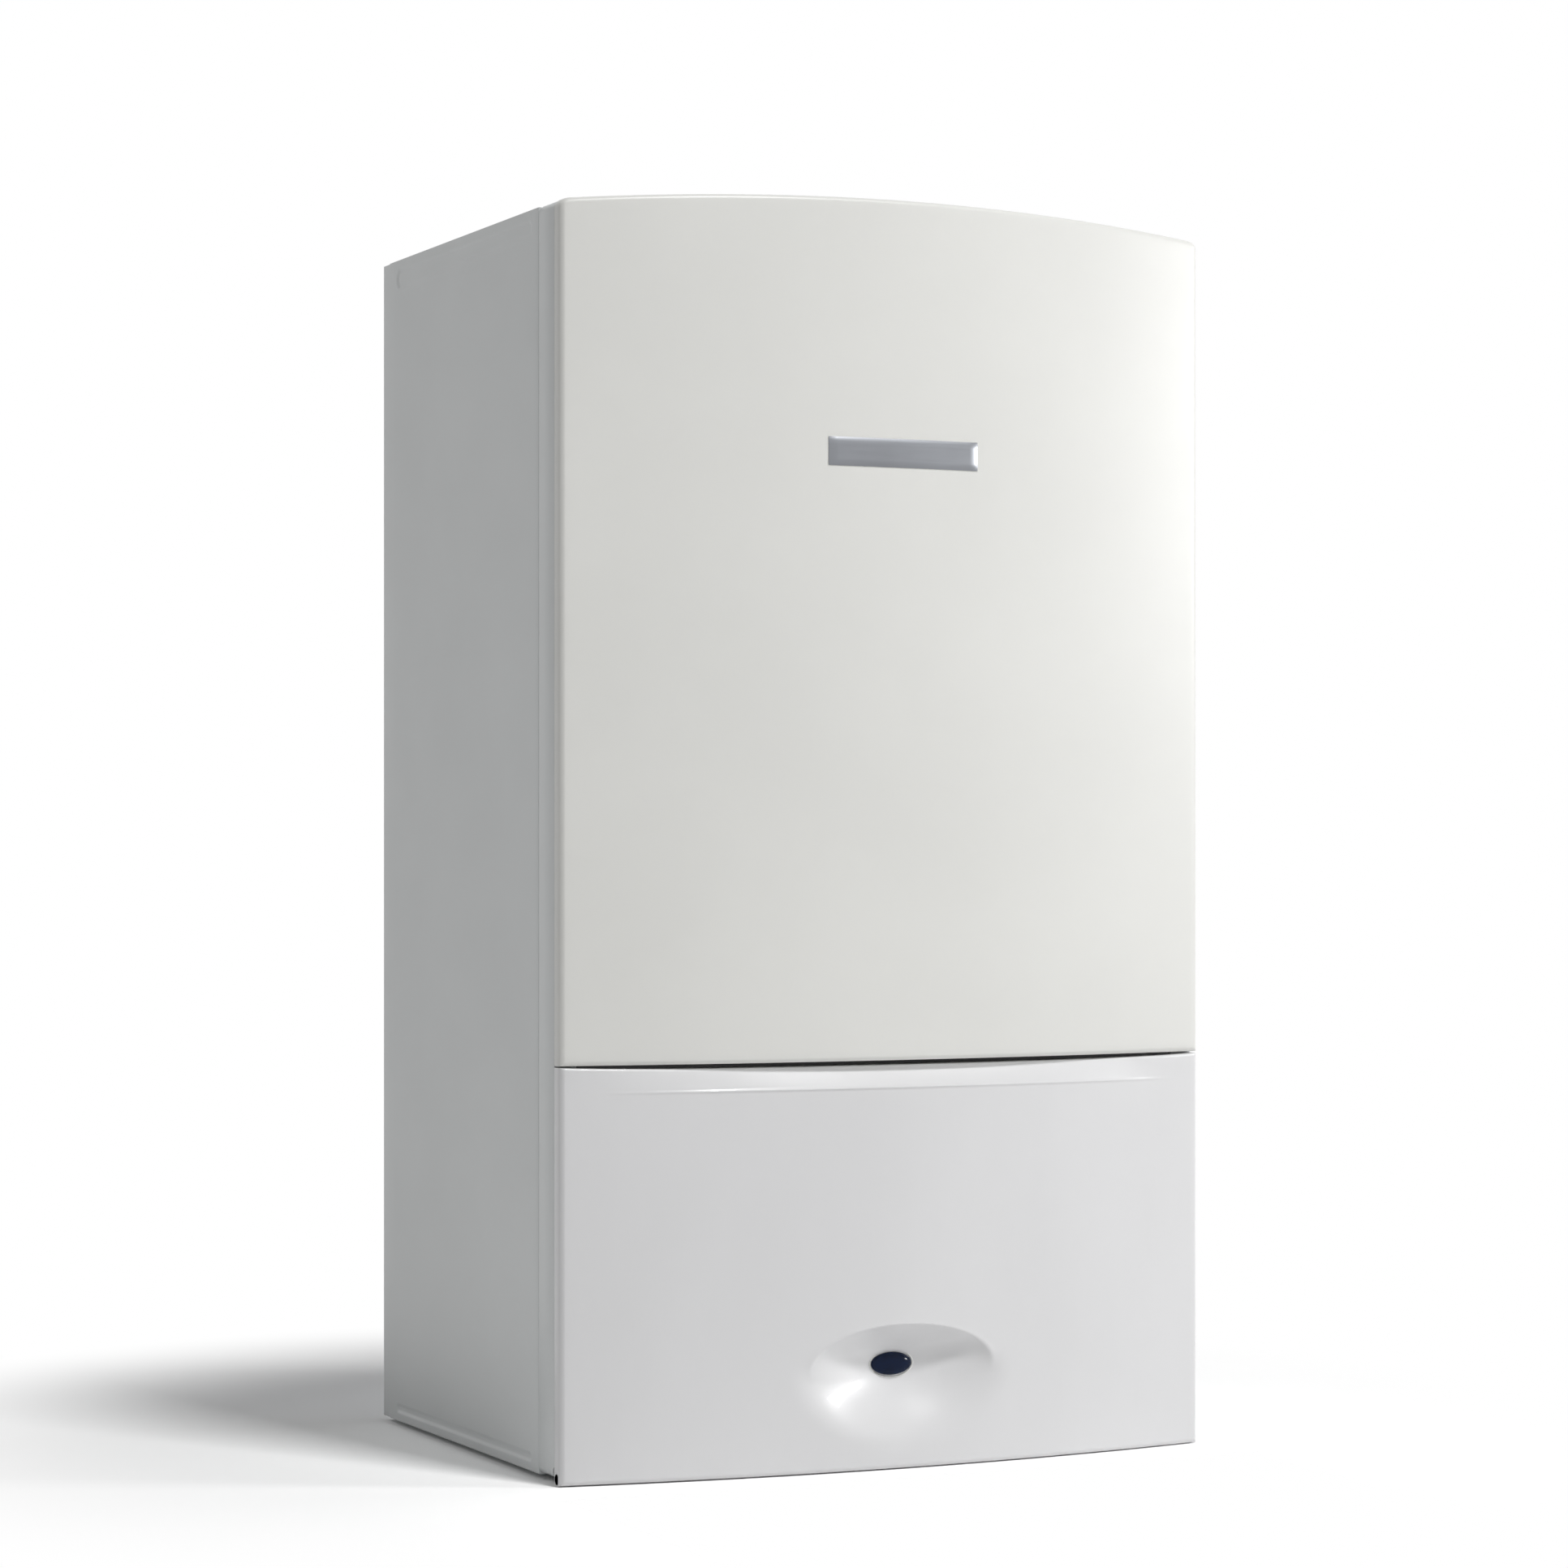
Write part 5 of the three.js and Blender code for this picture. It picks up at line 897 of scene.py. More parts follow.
def make_fascia_print():
    """Printed scales round the knobs, words at the switch, numbers over the buttons, two lines."""
    form = bmesh.new()
    face = FASCIA_FRONT - 0.00006
    for x in KNOB_PLACES.values():
        for i in range(28):
            tall = 0.0034 if i % 9 == 0 else 0.002
            add_tick(form, x, KNOB_Z, KNOB_RADIUS + 0.0055, i / 27, tall, 0.0006, face)
        for i, digit in enumerate("0123456"):
            point, _ = dial_point(x, KNOB_Z, KNOB_RADIUS + 0.0115, i / 6)
            add_text(form, digit, 0.0058, (point.x, face, point.z))
    for words, z in (("ON", 0.186), ("OFF", 0.143)):
        add_text(form, words, 0.006, (SWITCH_X, face, z))
    for i in (-1, 0, 1):
        add_text(form, str(i + 2), 0.0055, (i * 0.026, face, 0.120))
    for z in (0.0955, 0.2005):
        add_block(form, (-0.172, face - 0.00004, z), (0.172, face + 0.00008, z + 0.0005))
    add_piece("fascia_print", form, "control_fascia", "dark_plastic")


def cut_flutes(form, middle, band, depth_at, faces=(-1.0, 1.0)):
    """Sinks the wall of a turned cap by a depth that changes with the turn round its middle."""
    for vertex in form.verts:
        out = Vector((vertex.co.x - middle[0], vertex.co.z - middle[1]))
        if band[0] < out.length < band[1] and faces[0] < vertex.co.y < faces[1]:
            shrink = 1.0 - depth_at(math.atan2(out.y, out.x)) / out.length
            vertex.co.x, vertex.co.z = middle[0] + out.x * shrink, middle[1] + out.y * shrink


def make_knob(node, x):
    """Rotary knob: skirt, ribbed grip with a rounded face, and a raised pointer ridge."""
    front = FRAME_FRONT + 0.0022
    face = front - 0.013
    form = bmesh.new()
    steps = KNOB_RIBS * 6
    profile = [(0.0, front + 0.0128), (0.004, front + 0.0128), (0.004, front),
               (KNOB_RADIUS - 0.0005, front), (KNOB_RADIUS, front - 0.0005),
               (KNOB_RADIUS, front - 0.0016), (KNOB_RADIUS - 0.0008, front - 0.0024),
               (KNOB_RADIUS - 0.0025, front - 0.003), (KNOB_RADIUS - 0.0034, front - 0.0042),
               (KNOB_RADIUS - 0.0042, face + 0.0026), (KNOB_RADIUS - 0.0048, face + 0.001),
               (KNOB_RADIUS - 0.0062, face), (0.0, face)]
    add_turned(form, "y", profile, (x, 0.0, KNOB_Z), steps)
    cut_flutes(form, (x, KNOB_Z), (KNOB_RADIUS - 0.006, KNOB_RADIUS - 0.003),
               lambda turn: 0.0009 * (0.5 - 0.5 * math.cos(KNOB_RIBS * turn)), (face, front))
    half = KNOB_RADIUS - 0.0052
    add_block(form, (x - 0.0029, face - 0.0012, KNOB_Z - half),
              (x + 0.0029, face + 0.001, KNOB_Z + half), 0.0009, 3)
    add_piece(node + "_cap", form, node, smooth=40.0)
    mark = bmesh.new()
    add_block(mark, (x - 0.0007, face - 0.00135, KNOB_Z + 0.004),
              (x + 0.0007, face - 0.0011, KNOB_Z + half - 0.0012))
    add_piece(node + "_mark", mark, node, "white_plastic")


def make_gauge():
    """Pressure gauge: a rounded bezel, a white dial with its scale, glass and a red hand."""
    face = FASCIA_FRONT
    z = UPPER_ROW_Z
    profile = [(0.0, face + 0.003), (0.0163, face + 0.003), (0.0165, face - 0.0012),
               (0.0169, face - 0.0018), (0.0178, face - 0.002), (0.0198, face - 0.002),
               (0.0207, face - 0.0016), (0.021, face - 0.0009), (0.021, face - 0.0003),
               (0.019, face - 0.0003), (0.019, face + 0.021), (0.0, face + 0.021)]
    add_piece("gauge_bezel", form_of(add_turned, "y", profile, (GAUGE_X, 0.0, z), 64),
              "gauge_case", smooth=35.0)
    dial = bmesh.new()
    add_drum(dial, "y", 0.0161, face + 0.00265, face + 0.00295, (GAUGE_X, 0.0, z), 48, 0.0001)
    add_piece("gauge_dial", dial, "gauge_case", "white_plastic")
    scale = bmesh.new()
    level = face + 0.00258
    for i in range(21):
        tall = 0.0026 if i % 5 == 0 else 0.0014
        add_tick(scale, GAUGE_X, z, 0.0135, i / 20, tall, 0.00035, level)
    for i in range(5):
        point, _ = dial_point(GAUGE_X, z, 0.0096, i / 4)
        add_text(scale, str(i), 0.0045, (point.x, level, point.z))
    add_piece("gauge_scale", scale, "gauge_case", "black_plastic")
    glass = bmesh.new()
    add_drum(glass, "y", 0.0162, face - 0.0018, face - 0.0008, (GAUGE_X, 0.0, z), 48, 0.0003)
    add_piece("gauge_cover", glass, "gauge_glass")


def make_display_figures():
    """Lit figures behind the dark window, and thin bars of a signal beside them."""
    low, _ = extent("display_window")
    form = bmesh.new()
    face = low.y - 0.00006
    add_text(form, "60", 0.021, (-0.008, face, UPPER_ROW_Z))
    for i in range(4):
        x = 0.019 + i * 0.005
        add_block(form, (x, face - 0.00004, UPPER_ROW_Z - 0.008),
                  (x + 0.003, face + 0.00006, UPPER_ROW_Z - 0.004 + i * 0.0035))
    add_piece("display_figures", form, "display_window", "display_light")


def make_button_marks():
    """A different raised sign on each push button."""
    for i, node in enumerate(("menu_button", "reset_button", "info_button")):
        low, high = extent(node)
        x, z, face = (low.x + high.x) / 2.0, KNOB_Z - 0.010, low.y
        form = bmesh.new()
        for step in range(i + 1):
            shift = (step - i / 2.0) * 0.0028
            add_drum(form, "y", 0.0009, face - 0.00015, face + 0.0001, (x + shift, 0.0, z), 20,
                     0.00005)
        add_piece(node + "_sign", form, node, "dark_plastic")


def make_switch_marks():
    """A bar and a ring on the two ends of the mains rocker."""
    low, _ = extent("mains_switch")
    form = bmesh.new()
    for sign, shift in (("I", 0.0085), ("O", -0.0085)):
        add_text(form, sign, 0.006, (SWITCH_X, low.y - 0.00002, UPPER_ROW_Z + shift))
    add_piece("mains_switch_marks", form, "mains_switch", "white_plastic")


def make_fascia_screws():
    """Screws in the corners of the fascia."""
    form = bmesh.new()
    for x in (-0.174, 0.174):
        for z in (0.030, 0.204):
            add_screw(form, (x, FASCIA_FRONT, z), TO_FRONT)
    add_piece("fascia_screws", form, "control_fascia", "stainless")


# ---- Burner side ----

DRUM = mm(-30.0, 0.0, 450.0)
DRUM_RADIUS = 0.105
DRUM_FRONT = -0.0759
DRUM_BACK = 0.0741
DOOR_FACE = DRUM_FRONT - 0.0063
DOME_FACE = DOOR_FACE - 0.044
DUCT_Y = DOOR_FACE - 0.022
FAN = mm(120.0, 0.0, 345.0)
FAN_FRONT = -0.065
FAN_BACK = -0.015
FLUE = mm(0.0, 30.0, 0.0)
TAIL_Y = 0.020

# Radius, bend and corners of each pipe.
ROUTES = {
    "gas_air_duct": (0.020, 0.030, [mm(156, -40, 418), mm(156, -40, 450), mm(156, -104.2, 450),
                                    mm(36.3, -104.2, 450)]),
    "air_intake_tube": (0.021, 0.020, [mm(120, 25.6, 345), mm(120, 51.6, 345), mm(150, 51.6, 435),
                                       mm(158, 45.6, 650)]),
    "gas_pipe": (0.009, 0.018, [mm(0, 20, 46), mm(0, 20, 210), mm(0, -22, 254),
                                mm(81.7, -22, 254)]),
    "flow_pipe": (0.009, 0.020, [mm(-80, 20, 340.7), mm(-80, 20, 278.5), mm(-130, 20, 238.5),
                                 mm(-130, 20, 96.3)]),
    "return_pipe": (0.009, 0.016, [mm(97.5, 20, 184.3), mm(97.5, 20, 206.3), mm(20, 20, 226.3),
                                   mm(20, 20, 340.7)]),
}


def add_bolt_circle(form, centre, face, radius, count, size, phase):
    """Adds bolts on a circle round an axis that points to the front."""
    for i in range(count):
        angle = phase + FULL_TURN * i / count
        place = (centre.x + radius * math.cos(angle), face, centre.z + radius * math.sin(angle))
        add_hex(form, place, TO_FRONT, size, size * 0.9)


def make_pipe_run(node):
    """One bent pipe along its route."""
    radius, bend, corners = ROUTES[node]
    return form_of(add_pipe, corners, radius, bend, 28, 10)


def make_pipe_runs():
    """The three small pipes, with a union nut and its collar at each end."""
    for node in ("gas_pipe", "flow_pipe", "return_pipe"):
        radius, _, corners = ROUTES[node]
        add_piece(node + "_run", make_pipe_run(node), node)
        nuts = bmesh.new()
        for end, toward in ((corners[0], corners[1]), (corners[-1], corners[-2])):
            turn = lay_along(toward - end, end)
            add_cone(nuts, turn, 0.011, 6, radius * 1.62, radius * 1.55, 0.014)
            add_cone(nuts, turn, 0.0205, 24, radius * 1.45, radius * 1.2, 0.005)
        add_piece(node + "_nuts", nuts, node, "brass", smooth=25.0)


def make_drum():
    """Stainless jacket with its rolled coils, on its neck and spigots."""
    form = bmesh.new()
    profile = [(0.0, DRUM_BACK - 0.014), (0.091, DRUM_BACK - 0.014), (0.091, DRUM_FRONT),
               (DRUM_RADIUS - 0.002, DRUM_FRONT), (DRUM_RADIUS, DRUM_FRONT + 0.002)]
    pitch = (DRUM_BACK - DRUM_FRONT) / 5.0
    for i in range(1, 5):
        middle = DRUM_FRONT + pitch * i
        for step in range(-6, 7):
            dip = 0.002 + 0.002 * math.cos(math.pi * step / 6.0)
            profile.append((DRUM_RADIUS - dip, middle + step * 0.0014))
    profile += [(DRUM_RADIUS, DRUM_BACK - 0.010), (DRUM_RADIUS - 0.003, DRUM_BACK - 0.004),
                (DRUM_RADIUS - 0.012, DRUM_BACK), (0.0, DRUM_BACK)]
    add_turned(form, "y", profile, DRUM, 96)
    neck = [(0.026, 0.520), (0.030, 0.520), (0.030, 0.5655), (0.0292, 0.567), (0.026, 0.567),
            (0.026, 0.520)]
    add_turned(form, "z", neck, FLUE, 40)
    for x in (-80.0, 20.0):
        add_drum(form, "z", 0.012, 0.341, 0.375, mm(x, 20.0, 0.0), 28)
    add_drum(form, "z", 0.010, 0.337, 0.370, mm(-30.0, -34.0, 0.0), 28)
    add_piece("drum_jacket", form, "heat_exchanger", smooth=34.0)
    clamps = bmesh.new()
    for x in (-80.0, 20.0):
        add_drum(clamps, "z", 0.0138, 0.3412, 0.3462, mm(x, 20.0, 0.0), 32, 0.0008)
    add_drum(clamps, "z", 0.0325, 0.556, 0.562, FLUE, 40, 0.0008)
    add_piece("drum_clamps", clamps, "heat_exchanger", "galvanised")


def make_door():
    """Cast burner door: flange, ribbed dome, gas-air inlet, sight glass and its bolts."""
    form = bmesh.new()
    back = DRUM_FRONT - 0.0003
    profile = [(0.0, back), (0.0972, back), (0.098, back - 0.0008), (0.098, DOOR_FACE + 0.001),
               (0.097, DOOR_FACE), (0.071, DOOR_FACE), (0.067, DOOR_FACE - 0.0012),
               (0.064, DOOR_FACE - 0.005), (0.0575, DOME_FACE + 0.009), (0.055, DOME_FACE + 0.004),
               (0.051, DOME_FACE + 0.001), (0.046, DOME_FACE), (0.0, DOME_FACE)]
    add_turned(form, "y", profile, DRUM, 96)
    add_drum(form, "y", 0.035, back - 0.001, back + 0.085, DRUM, 40)
    inlet = DRUM + Vector((0.0, DUCT_Y, 0.0))
    add_drum(form, "x", 0.016, 0.030, 0.066, inlet, 36)
    for i in range(12):
        angle = FULL_TURN * (i + 0.5) / 12
        turn = Matrix.Translation(DRUM) @ Matrix.Rotation(-angle, 4, "Y")
        before = set(form.verts)
        add_block(form, (0.060, DOOR_FACE - 0.005, -0.0014), (0.086, DOOR_FACE + 0.001, 0.0014),
                  0.001)
        fresh = [vertex for vertex in form.verts if vertex not in before]
        bmesh.ops.transform(form, matrix=turn, verts=fresh)
    add_piece("door_casting", form, "burner_door", smooth=34.0)
    bolts = bmesh.new()
    add_bolt_circle(bolts, DRUM, DOOR_FACE, 0.0905, 8, 0.0052, math.radians(22.5))
    add_bolt_circle(bolts, DRUM, DOME_FACE, 0.038, 4, 0.0036, math.radians(45.0))
    add_piece("door_bolts", bolts, "burner_door", "stainless", smooth=25.0)
    rim = [(0.0095, 0.0005), (0.0095, -0.003), (0.0085, -0.004), (0.0068, -0.004),
           (0.0062, -0.003), (0.0062, 0.0005), (0.0095, 0.0005)]
    centre = DRUM + Vector((0.0, DOME_FACE, 0.016))
    add_piece("sight_glass_rim", form_of(add_turned, "y", rim, centre, 32),
              "burner_door", "brass", smooth=34.0)
    add_piece("sight_glass", form_of(add_drum, "y", 0.0062, -0.0022, 0.0004, centre, 28, 0.0002),
              "burner_door", "navy_lens")


def make_electrode():
    """Glazed ceramic with its collar, its rings and the tip for its lead."""
    low, high = extent("ignition_electrode")
    middle = Vector(((low.x + high.x) / 2.0, 0.0, (low.z + high.z) / 2.0))
    profile = [(0.0, high.y), (0.004, high.y), (0.004, DOOR_FACE - 0.0003),
               (0.0068, DOOR_FACE - 0.0003), (0.007, DOOR_FACE - 0.001),
               (0.007, DOOR_FACE - 0.0028), (0.0052, DOOR_FACE - 0.0036)]
    for i in range(4):
        ring = DOOR_FACE - 0.006 - i * 0.0035
        profile += [(0.0034, ring + 0.001), (0.0042, ring), (0.0034, ring - 0.001)]
    profile += [(0.003, low.y + 0.002), (0.002, low.y + 0.0006), (0.0, low.y + 0.0006)]
    add_piece("electrode_ceramic", form_of(add_turned, "y", profile, middle, 32),
              "ignition_electrode", smooth=40.0)


def make_fan():
    """Fan scroll with a seam, lugs and screws, its finned motor and their plug."""
    form = bmesh.new()
    profile = [(0.0, FAN_FRONT), (0.0545, FAN_FRONT), (0.056, FAN_FRONT + 0.0015),
               (0.056, -0.0425), (0.0545, -0.042), (0.0545, -0.038), (0.056, -0.0375),
               (0.056, FAN_BACK - 0.0015), (0.0545, FAN_BACK), (0.022, FAN_BACK),
               (0.022, FAN_BACK - 0.004), (0.052, FAN_BACK - 0.004), (0.052, FAN_FRONT + 0.004),
               (0.0, FAN_FRONT + 0.004)]
    add_turned(form, "y", profile, FAN, 72)
    add_block(form, (0.136, FAN_FRONT, 0.352), (0.176, FAN_BACK, 0.415), 0.002)
    for i in range(5):
        angle = math.radians(100.0 + 55.0 * i)
        place = FAN + Vector((0.0555 * math.cos(angle), 0.0, 0.0555 * math.sin(angle)))
        reach = 0.046 if place.z > 0.3 else 0.01
        add_drum(form, "y", 0.0045, -0.045, -0.045 + reach, place, 20)
    add_piece("fan_scroll", form, "fan_housing", smooth=34.0)
    face = FAN_FRONT - 0.0003
    shape = [(0.0, face), (0.033, face), (0.034, face - 0.001), (0.034, face - 0.0035),
             (0.029, face - 0.005)]
    for i in range(8):
        fin = face - 0.008 - i * 0.0032
        shape += [(0.0272, fin + 0.0006), (0.0287, fin), (0.0287, fin - 0.0012),
                  (0.0272, fin - 0.0018)]
    shape += [(0.0265, face - 0.0345), (0.024, face - 0.0375), (0.010, face - 0.038),
              (0.009, face - 0.0365), (0.0, face - 0.0365)]
    add_piece("fan_motor_body", form_of(add_turned, "y", shape, FAN, 64), "fan_motor", smooth=34.0)
    plug = bmesh.new()
    add_block(plug, (0.112, face - 0.026, 0.3712), (0.128, face - 0.012, 0.3805), 0.0008)
    add_piece("fan_plug", plug, "fan_motor", "white_plastic")
    screws = bmesh.new()
    add_bolt_circle(screws, FAN, FAN_FRONT, 0.0465, 6, 0.003, math.radians(30.0))
    for x in (0.1405, 0.1715):
        add_hex(screws, (x, -0.0655, 0.409), TO_FRONT, 0.003, 0.0026)
    add_piece("fan_screws", screws, "fan_housing", "stainless", smooth=25.0)


def make_air_and_mixer():
    """Cast elbow with its flange and bolts, the moulded venturi and the intake tube."""
    duct = make_pipe_run("gas_air_duct")
    add_block(duct, (0.130, FAN_FRONT, 0.4153), (0.182, FAN_BACK, 0.4213), 0.0012)
    add_drum(duct, "x", 0.0235, 0.0365, 0.0425, DRUM + Vector((0.030, DUCT_Y, 0.0)), 36)
    add_piece("duct_casting", duct, "gas_air_duct")
    bolts = bmesh.new()
    for x in (0.1345, 0.1775):
        for y in (-0.058, -0.022):
            add_hex(bolts, (x, y, 0.4213), AXES["z"], 0.0034, 0.003)
    add_piece("duct_bolts", bolts, "gas_air_duct", "stainless", smooth=25.0)
    mixer = bmesh.new()
    start = FAN_BACK + 0.0003
    profile = [(0.014, start), (0.0275, start), (0.028, start + 0.0005), (0.028, start + 0.004),
               (0.022, start + 0.0065), (0.0185, start + 0.012), (0.0172, start + 0.020),
               (0.0185, start + 0.028), (0.0215, start + 0.034), (0.022, start + 0.0395),
               (0.0215, start + 0.040), (0.018, start + 0.040), (0.011, start + 0.020),
               (0.014, start)]
    add_turned(mixer, "y", profile, FAN, 56)
    add_drum(mixer, "z", 0.007, 0.311, 0.332, mm(120.0, 5.3, 0.0), 28)
    add_piece("mixer_venturi", mixer, "gas_air_mixer")
    add_piece("air_tube", make_pipe_run("air_intake_tube"), "air_intake_tube")


def make_vessel():
    """Pressed expansion vessel with its rolled seam and water nipple."""
    rim = 0.0807 + 0.032
    arch = []
    for i in range(17):
        angle = math.radians(90.0 * i / 16)
        arch.append((0.1635 * math.sin(angle) ** 0.72, 0.032 * math.cos(angle) ** 0.42))
    front = [(radius, rim - along) for radius, along in arch[:-1]]
    seam = [(0.1635, rim - 0.004), (0.165, rim - 0.0028), (0.165, rim + 0.0028),
            (0.1635, rim + 0.004)]
    rear = [(radius, rim + along) for radius, along in reversed(arch[:-1])]
    form = bmesh.new()
    add_turned(form, "y", front + seam + rear, mm(0.0, 0.0, 450.0), 96)
    add_drum(form, "z", 0.009, 0.273, 0.296, (0.0, rim, 0.0), 28)
    add_piece("vessel_shell", form, "expansion_vessel", smooth=40.0)


def make_flue_parts():
    """Flue pipe with its socket bead, and the turned collar on the top panel."""
    profile = [(0.0285, 0.5673), (0.0322, 0.5673), (0.033, 0.568), (0.033, 0.579),
               (0.0322, 0.5815), (0.0303, 0.584), (0.030, 0.586), (0.030, 0.7085), (0.0296, 0.709),
               (0.0285, 0.709), (0.0285, 0.5673)]
    add_piece("flue_pipe", form_of(add_turned, "z", profile, FLUE, 56), "flue_duct")
    low = CASE_TOP + 0.0003
    shape = [(0.050, low), (0.0695, low), (0.070, low + 0.0005), (0.070, low + 0.0016),
             (0.0692, low + 0.0022), (0.0565, low + 0.0026), (0.0545, low + 0.0034),
             (0.054, low + 0.005), (0.054, 0.7084), (0.0534, 0.709), (0.050, 0.709), (0.050, low)]
    add_piece("flue_socket", form_of(add_turned, "z", shape, FLUE, 72), "flue_collar")
    screws = bmesh.new()
    for i in range(4):
        angle = math.radians(45.0 + 90.0 * i)
        place = Vector((0.0625 * math.cos(angle), 0.0625 * math.sin(angle), low + 0.0024))
        add_screw(screws, FLUE + place, AXES["z"])
    add_piece("flue_screws", screws, "flue_collar", "stainless")


# ---- Water side ----

BLOCK_LOW = 0.046
BLOCK_FRONT = -0.010
TAIL_PITCH = 0.065
BOSS_Z = BLOCK_LOW + 0.018
PUMP = mm(97.5, 0.0, 134.0)
TRAP = mm(-162.0, -34.0, 0.0)
DIVERTER = mm(-65.0, 20.0, 0.0)
VENT = mm(-104.0, 20.0, 0.0)
RELIEF = mm(130.0, 0.0, 64.0)
FILLING = mm(-65.0, 0.0, 64.0)
VALVE_FACE = BLOCK_FRONT - 0.0083


def make_tails():
    """Connection tails: a tube with a rolled lip under a hexagon union nut."""
    for name in ("heating_flow", "hot_water", "gas", "cold_water", "heating_return"):
        node = "tail_" + name
        low, high = extent(node)
        middle = Vector(((low.x + high.x) / 2.0, TAIL_Y, 0.0))
        radius = 0.009 if name == "gas" else 0.011
        form = bmesh.new()
        profile = [(radius - 0.002, low.z), (radius - 0.0004, low.z), (radius, low.z + 0.0004),
                   (radius, low.z + 0.005), (radius + 0.0006, low.z + 0.006),
                   (radius, low.z + 0.007), (radius, high.z), (radius - 0.002, high.z),
                   (radius - 0.002, low.z)]
        add_turned(form, "z", profile, middle, 40)
        nut = radius + 0.005
        add_cone(form, Matrix.Translation(middle), 0.035, 6, nut, nut, 0.0115)
        add_drum(form, "z", radius + 0.0035, 0.0286, 0.0300, middle, 40, 0.0004)
        add_piece(node + "_union", form, node, smooth=30.0)


def make_pump():
    """Pump motor with cooling ribs, a vent screw in its nose and a terminal box on top."""
    face = -0.0023
    profile = [(0.0, face), (0.037, face), (0.038, face - 0.001), (0.038, face - 0.005),
               (0.0345, face - 0.007)]
    for i in range(9):
        rib = face - 0.010 - i * 0.0042
        profile += [(0.0316, rib + 0.0009), (0.033, rib), (0.033, rib - 0.0014),
                    (0.0316, rib - 0.0023)]
    profile += [(0.031, face - 0.049), (0.028, face - 0.0516), (0.0125, face - 0.052),
                (0.0115, face - 0.0505), (0.0, face - 0.0505)]
    add_piece("pump_can", form_of(add_turned, "y", profile, PUMP, 72), "pump_motor", smooth=34.0)
    box = bmesh.new()
    add_block(box, (0.0785, face - 0.042, 0.1650), (0.1165, face - 0.010, 0.1835), 0.002)
    add_piece("pump_terminals", box, "pump_motor", "dark_plastic")
    vent = bmesh.new()
    add_drum(vent, "y", 0.0092, face - 0.0516, face - 0.0506, PUMP, 32, 0.0006)
    add_block(vent, (0.0915, face - 0.0519, 0.1333), (0.1035, face - 0.0514, 0.1347))
    add_piece("pump_vent_screw", vent, "pump_motor", "stainless")
    screws = bmesh.new()
    for i in range(4):
        angle = math.radians(45.0 + 90.0 * i)
        place = PUMP + Vector((0.0400 * math.cos(angle), -0.0020, 0.0400 * math.sin(angle)))
        add_hex(screws, place, TO_FRONT, 0.0028, 0.0026)
    add_piece("pump_screws", screws, "return_block", "stainless", smooth=25.0)


def make_valve_heads():
    """Diverter head with its socket, air vent, relief valve with its drain, and filling valve."""
    head = bmesh.new()
    profile = [(0.0, 0.087), (0.012, 0.087), (0.012, 0.1035), (0.0212, 0.1055), (0.022, 0.1065),
               (0.022, 0.118), (0.0214, 0.1186), (0.0214, 0.1196), (0.022, 0.1202),
               (0.022, 0.1455), (0.021, 0.1478), (0.018, 0.150), (0.0, 0.150)]
    add_turned(head, "z", profile, DIVERTER, 56)
    add_block(head, (-0.0735, -0.0075, 0.122), (-0.0565, 0.002, 0.134), 0.0012)
    add_piece("diverter_head", head, "diverter_actuator", smooth=34.0)
    shape = [(0.0, 0.077), (0.007, 0.077), (0.007, 0.1015), (0.0095, 0.1035), (0.010, 0.1045),
             (0.010, 0.112), (0.0094, 0.1126), (0.0094, 0.1136), (0.010, 0.1142), (0.010, 0.1355),
             (0.0075, 0.1395), (0.004, 0.142), (0.004, 0.1474), (0.0034, 0.148), (0.0, 0.148)]
    add_piece("air_vent_body", form_of(add_turned, "z", shape, VENT, 40), "air_vent", smooth=34.0)
    relief = bmesh.new()
    face = VALVE_FACE
    outline = [(0.0, face), (0.0105, face), (0.011, face - 0.0005), (0.011, face - 0.0115),
               (0.0103, face - 0.0125), (0.008, face - 0.0142), (0.008, face - 0.0178),
               (0.0, face - 0.018)]
    add_turned(relief, "y", outline, RELIEF, 40)
    add_drum(relief, "z", 0.006, 0.040, RELIEF.z, (RELIEF.x, face - 0.007, 0.0), 28)
    add_piece("relief_body", relief, "relief_valve", smooth=34.0)
    outline = [(0.0, face), (0.0105, face), (0.011, face - 0.0005), (0.011, face - 0.0095),
               (0.010, face - 0.0105), (0.006, face - 0.0122), (0.006, face - 0.0158),
               (0.0, face - 0.016)]
    add_piece("filling_body", form_of(add_turned, "y", outline, FILLING, 40),
              "filling_valve", smooth=34.0)


def make_relief_knob():
    """Red cap with finger flutes and a ring round its sunk face."""
    low, high = extent("relief_knob")
    form = bmesh.new()
    profile = [(0.0, high.y), (0.0125, high.y), (0.013, high.y - 0.0006), (0.013, low.y + 0.002),
               (0.0124, low.y + 0.0006), (0.011, low.y), (0.008, low.y), (0.0076, low.y + 0.0006),
               (0.0, low.y + 0.0006)]
    add_turned(form, "y", profile, RELIEF, 96)
    cut_flutes(form, (RELIEF.x, RELIEF.z), (0.0105, 0.020),
               lambda turn: 0.0016 * (0.5 + 0.5 * math.cos(8.0 * turn)) ** 2)
    add_piece("relief_cap", form, "relief_knob", smooth=40.0)


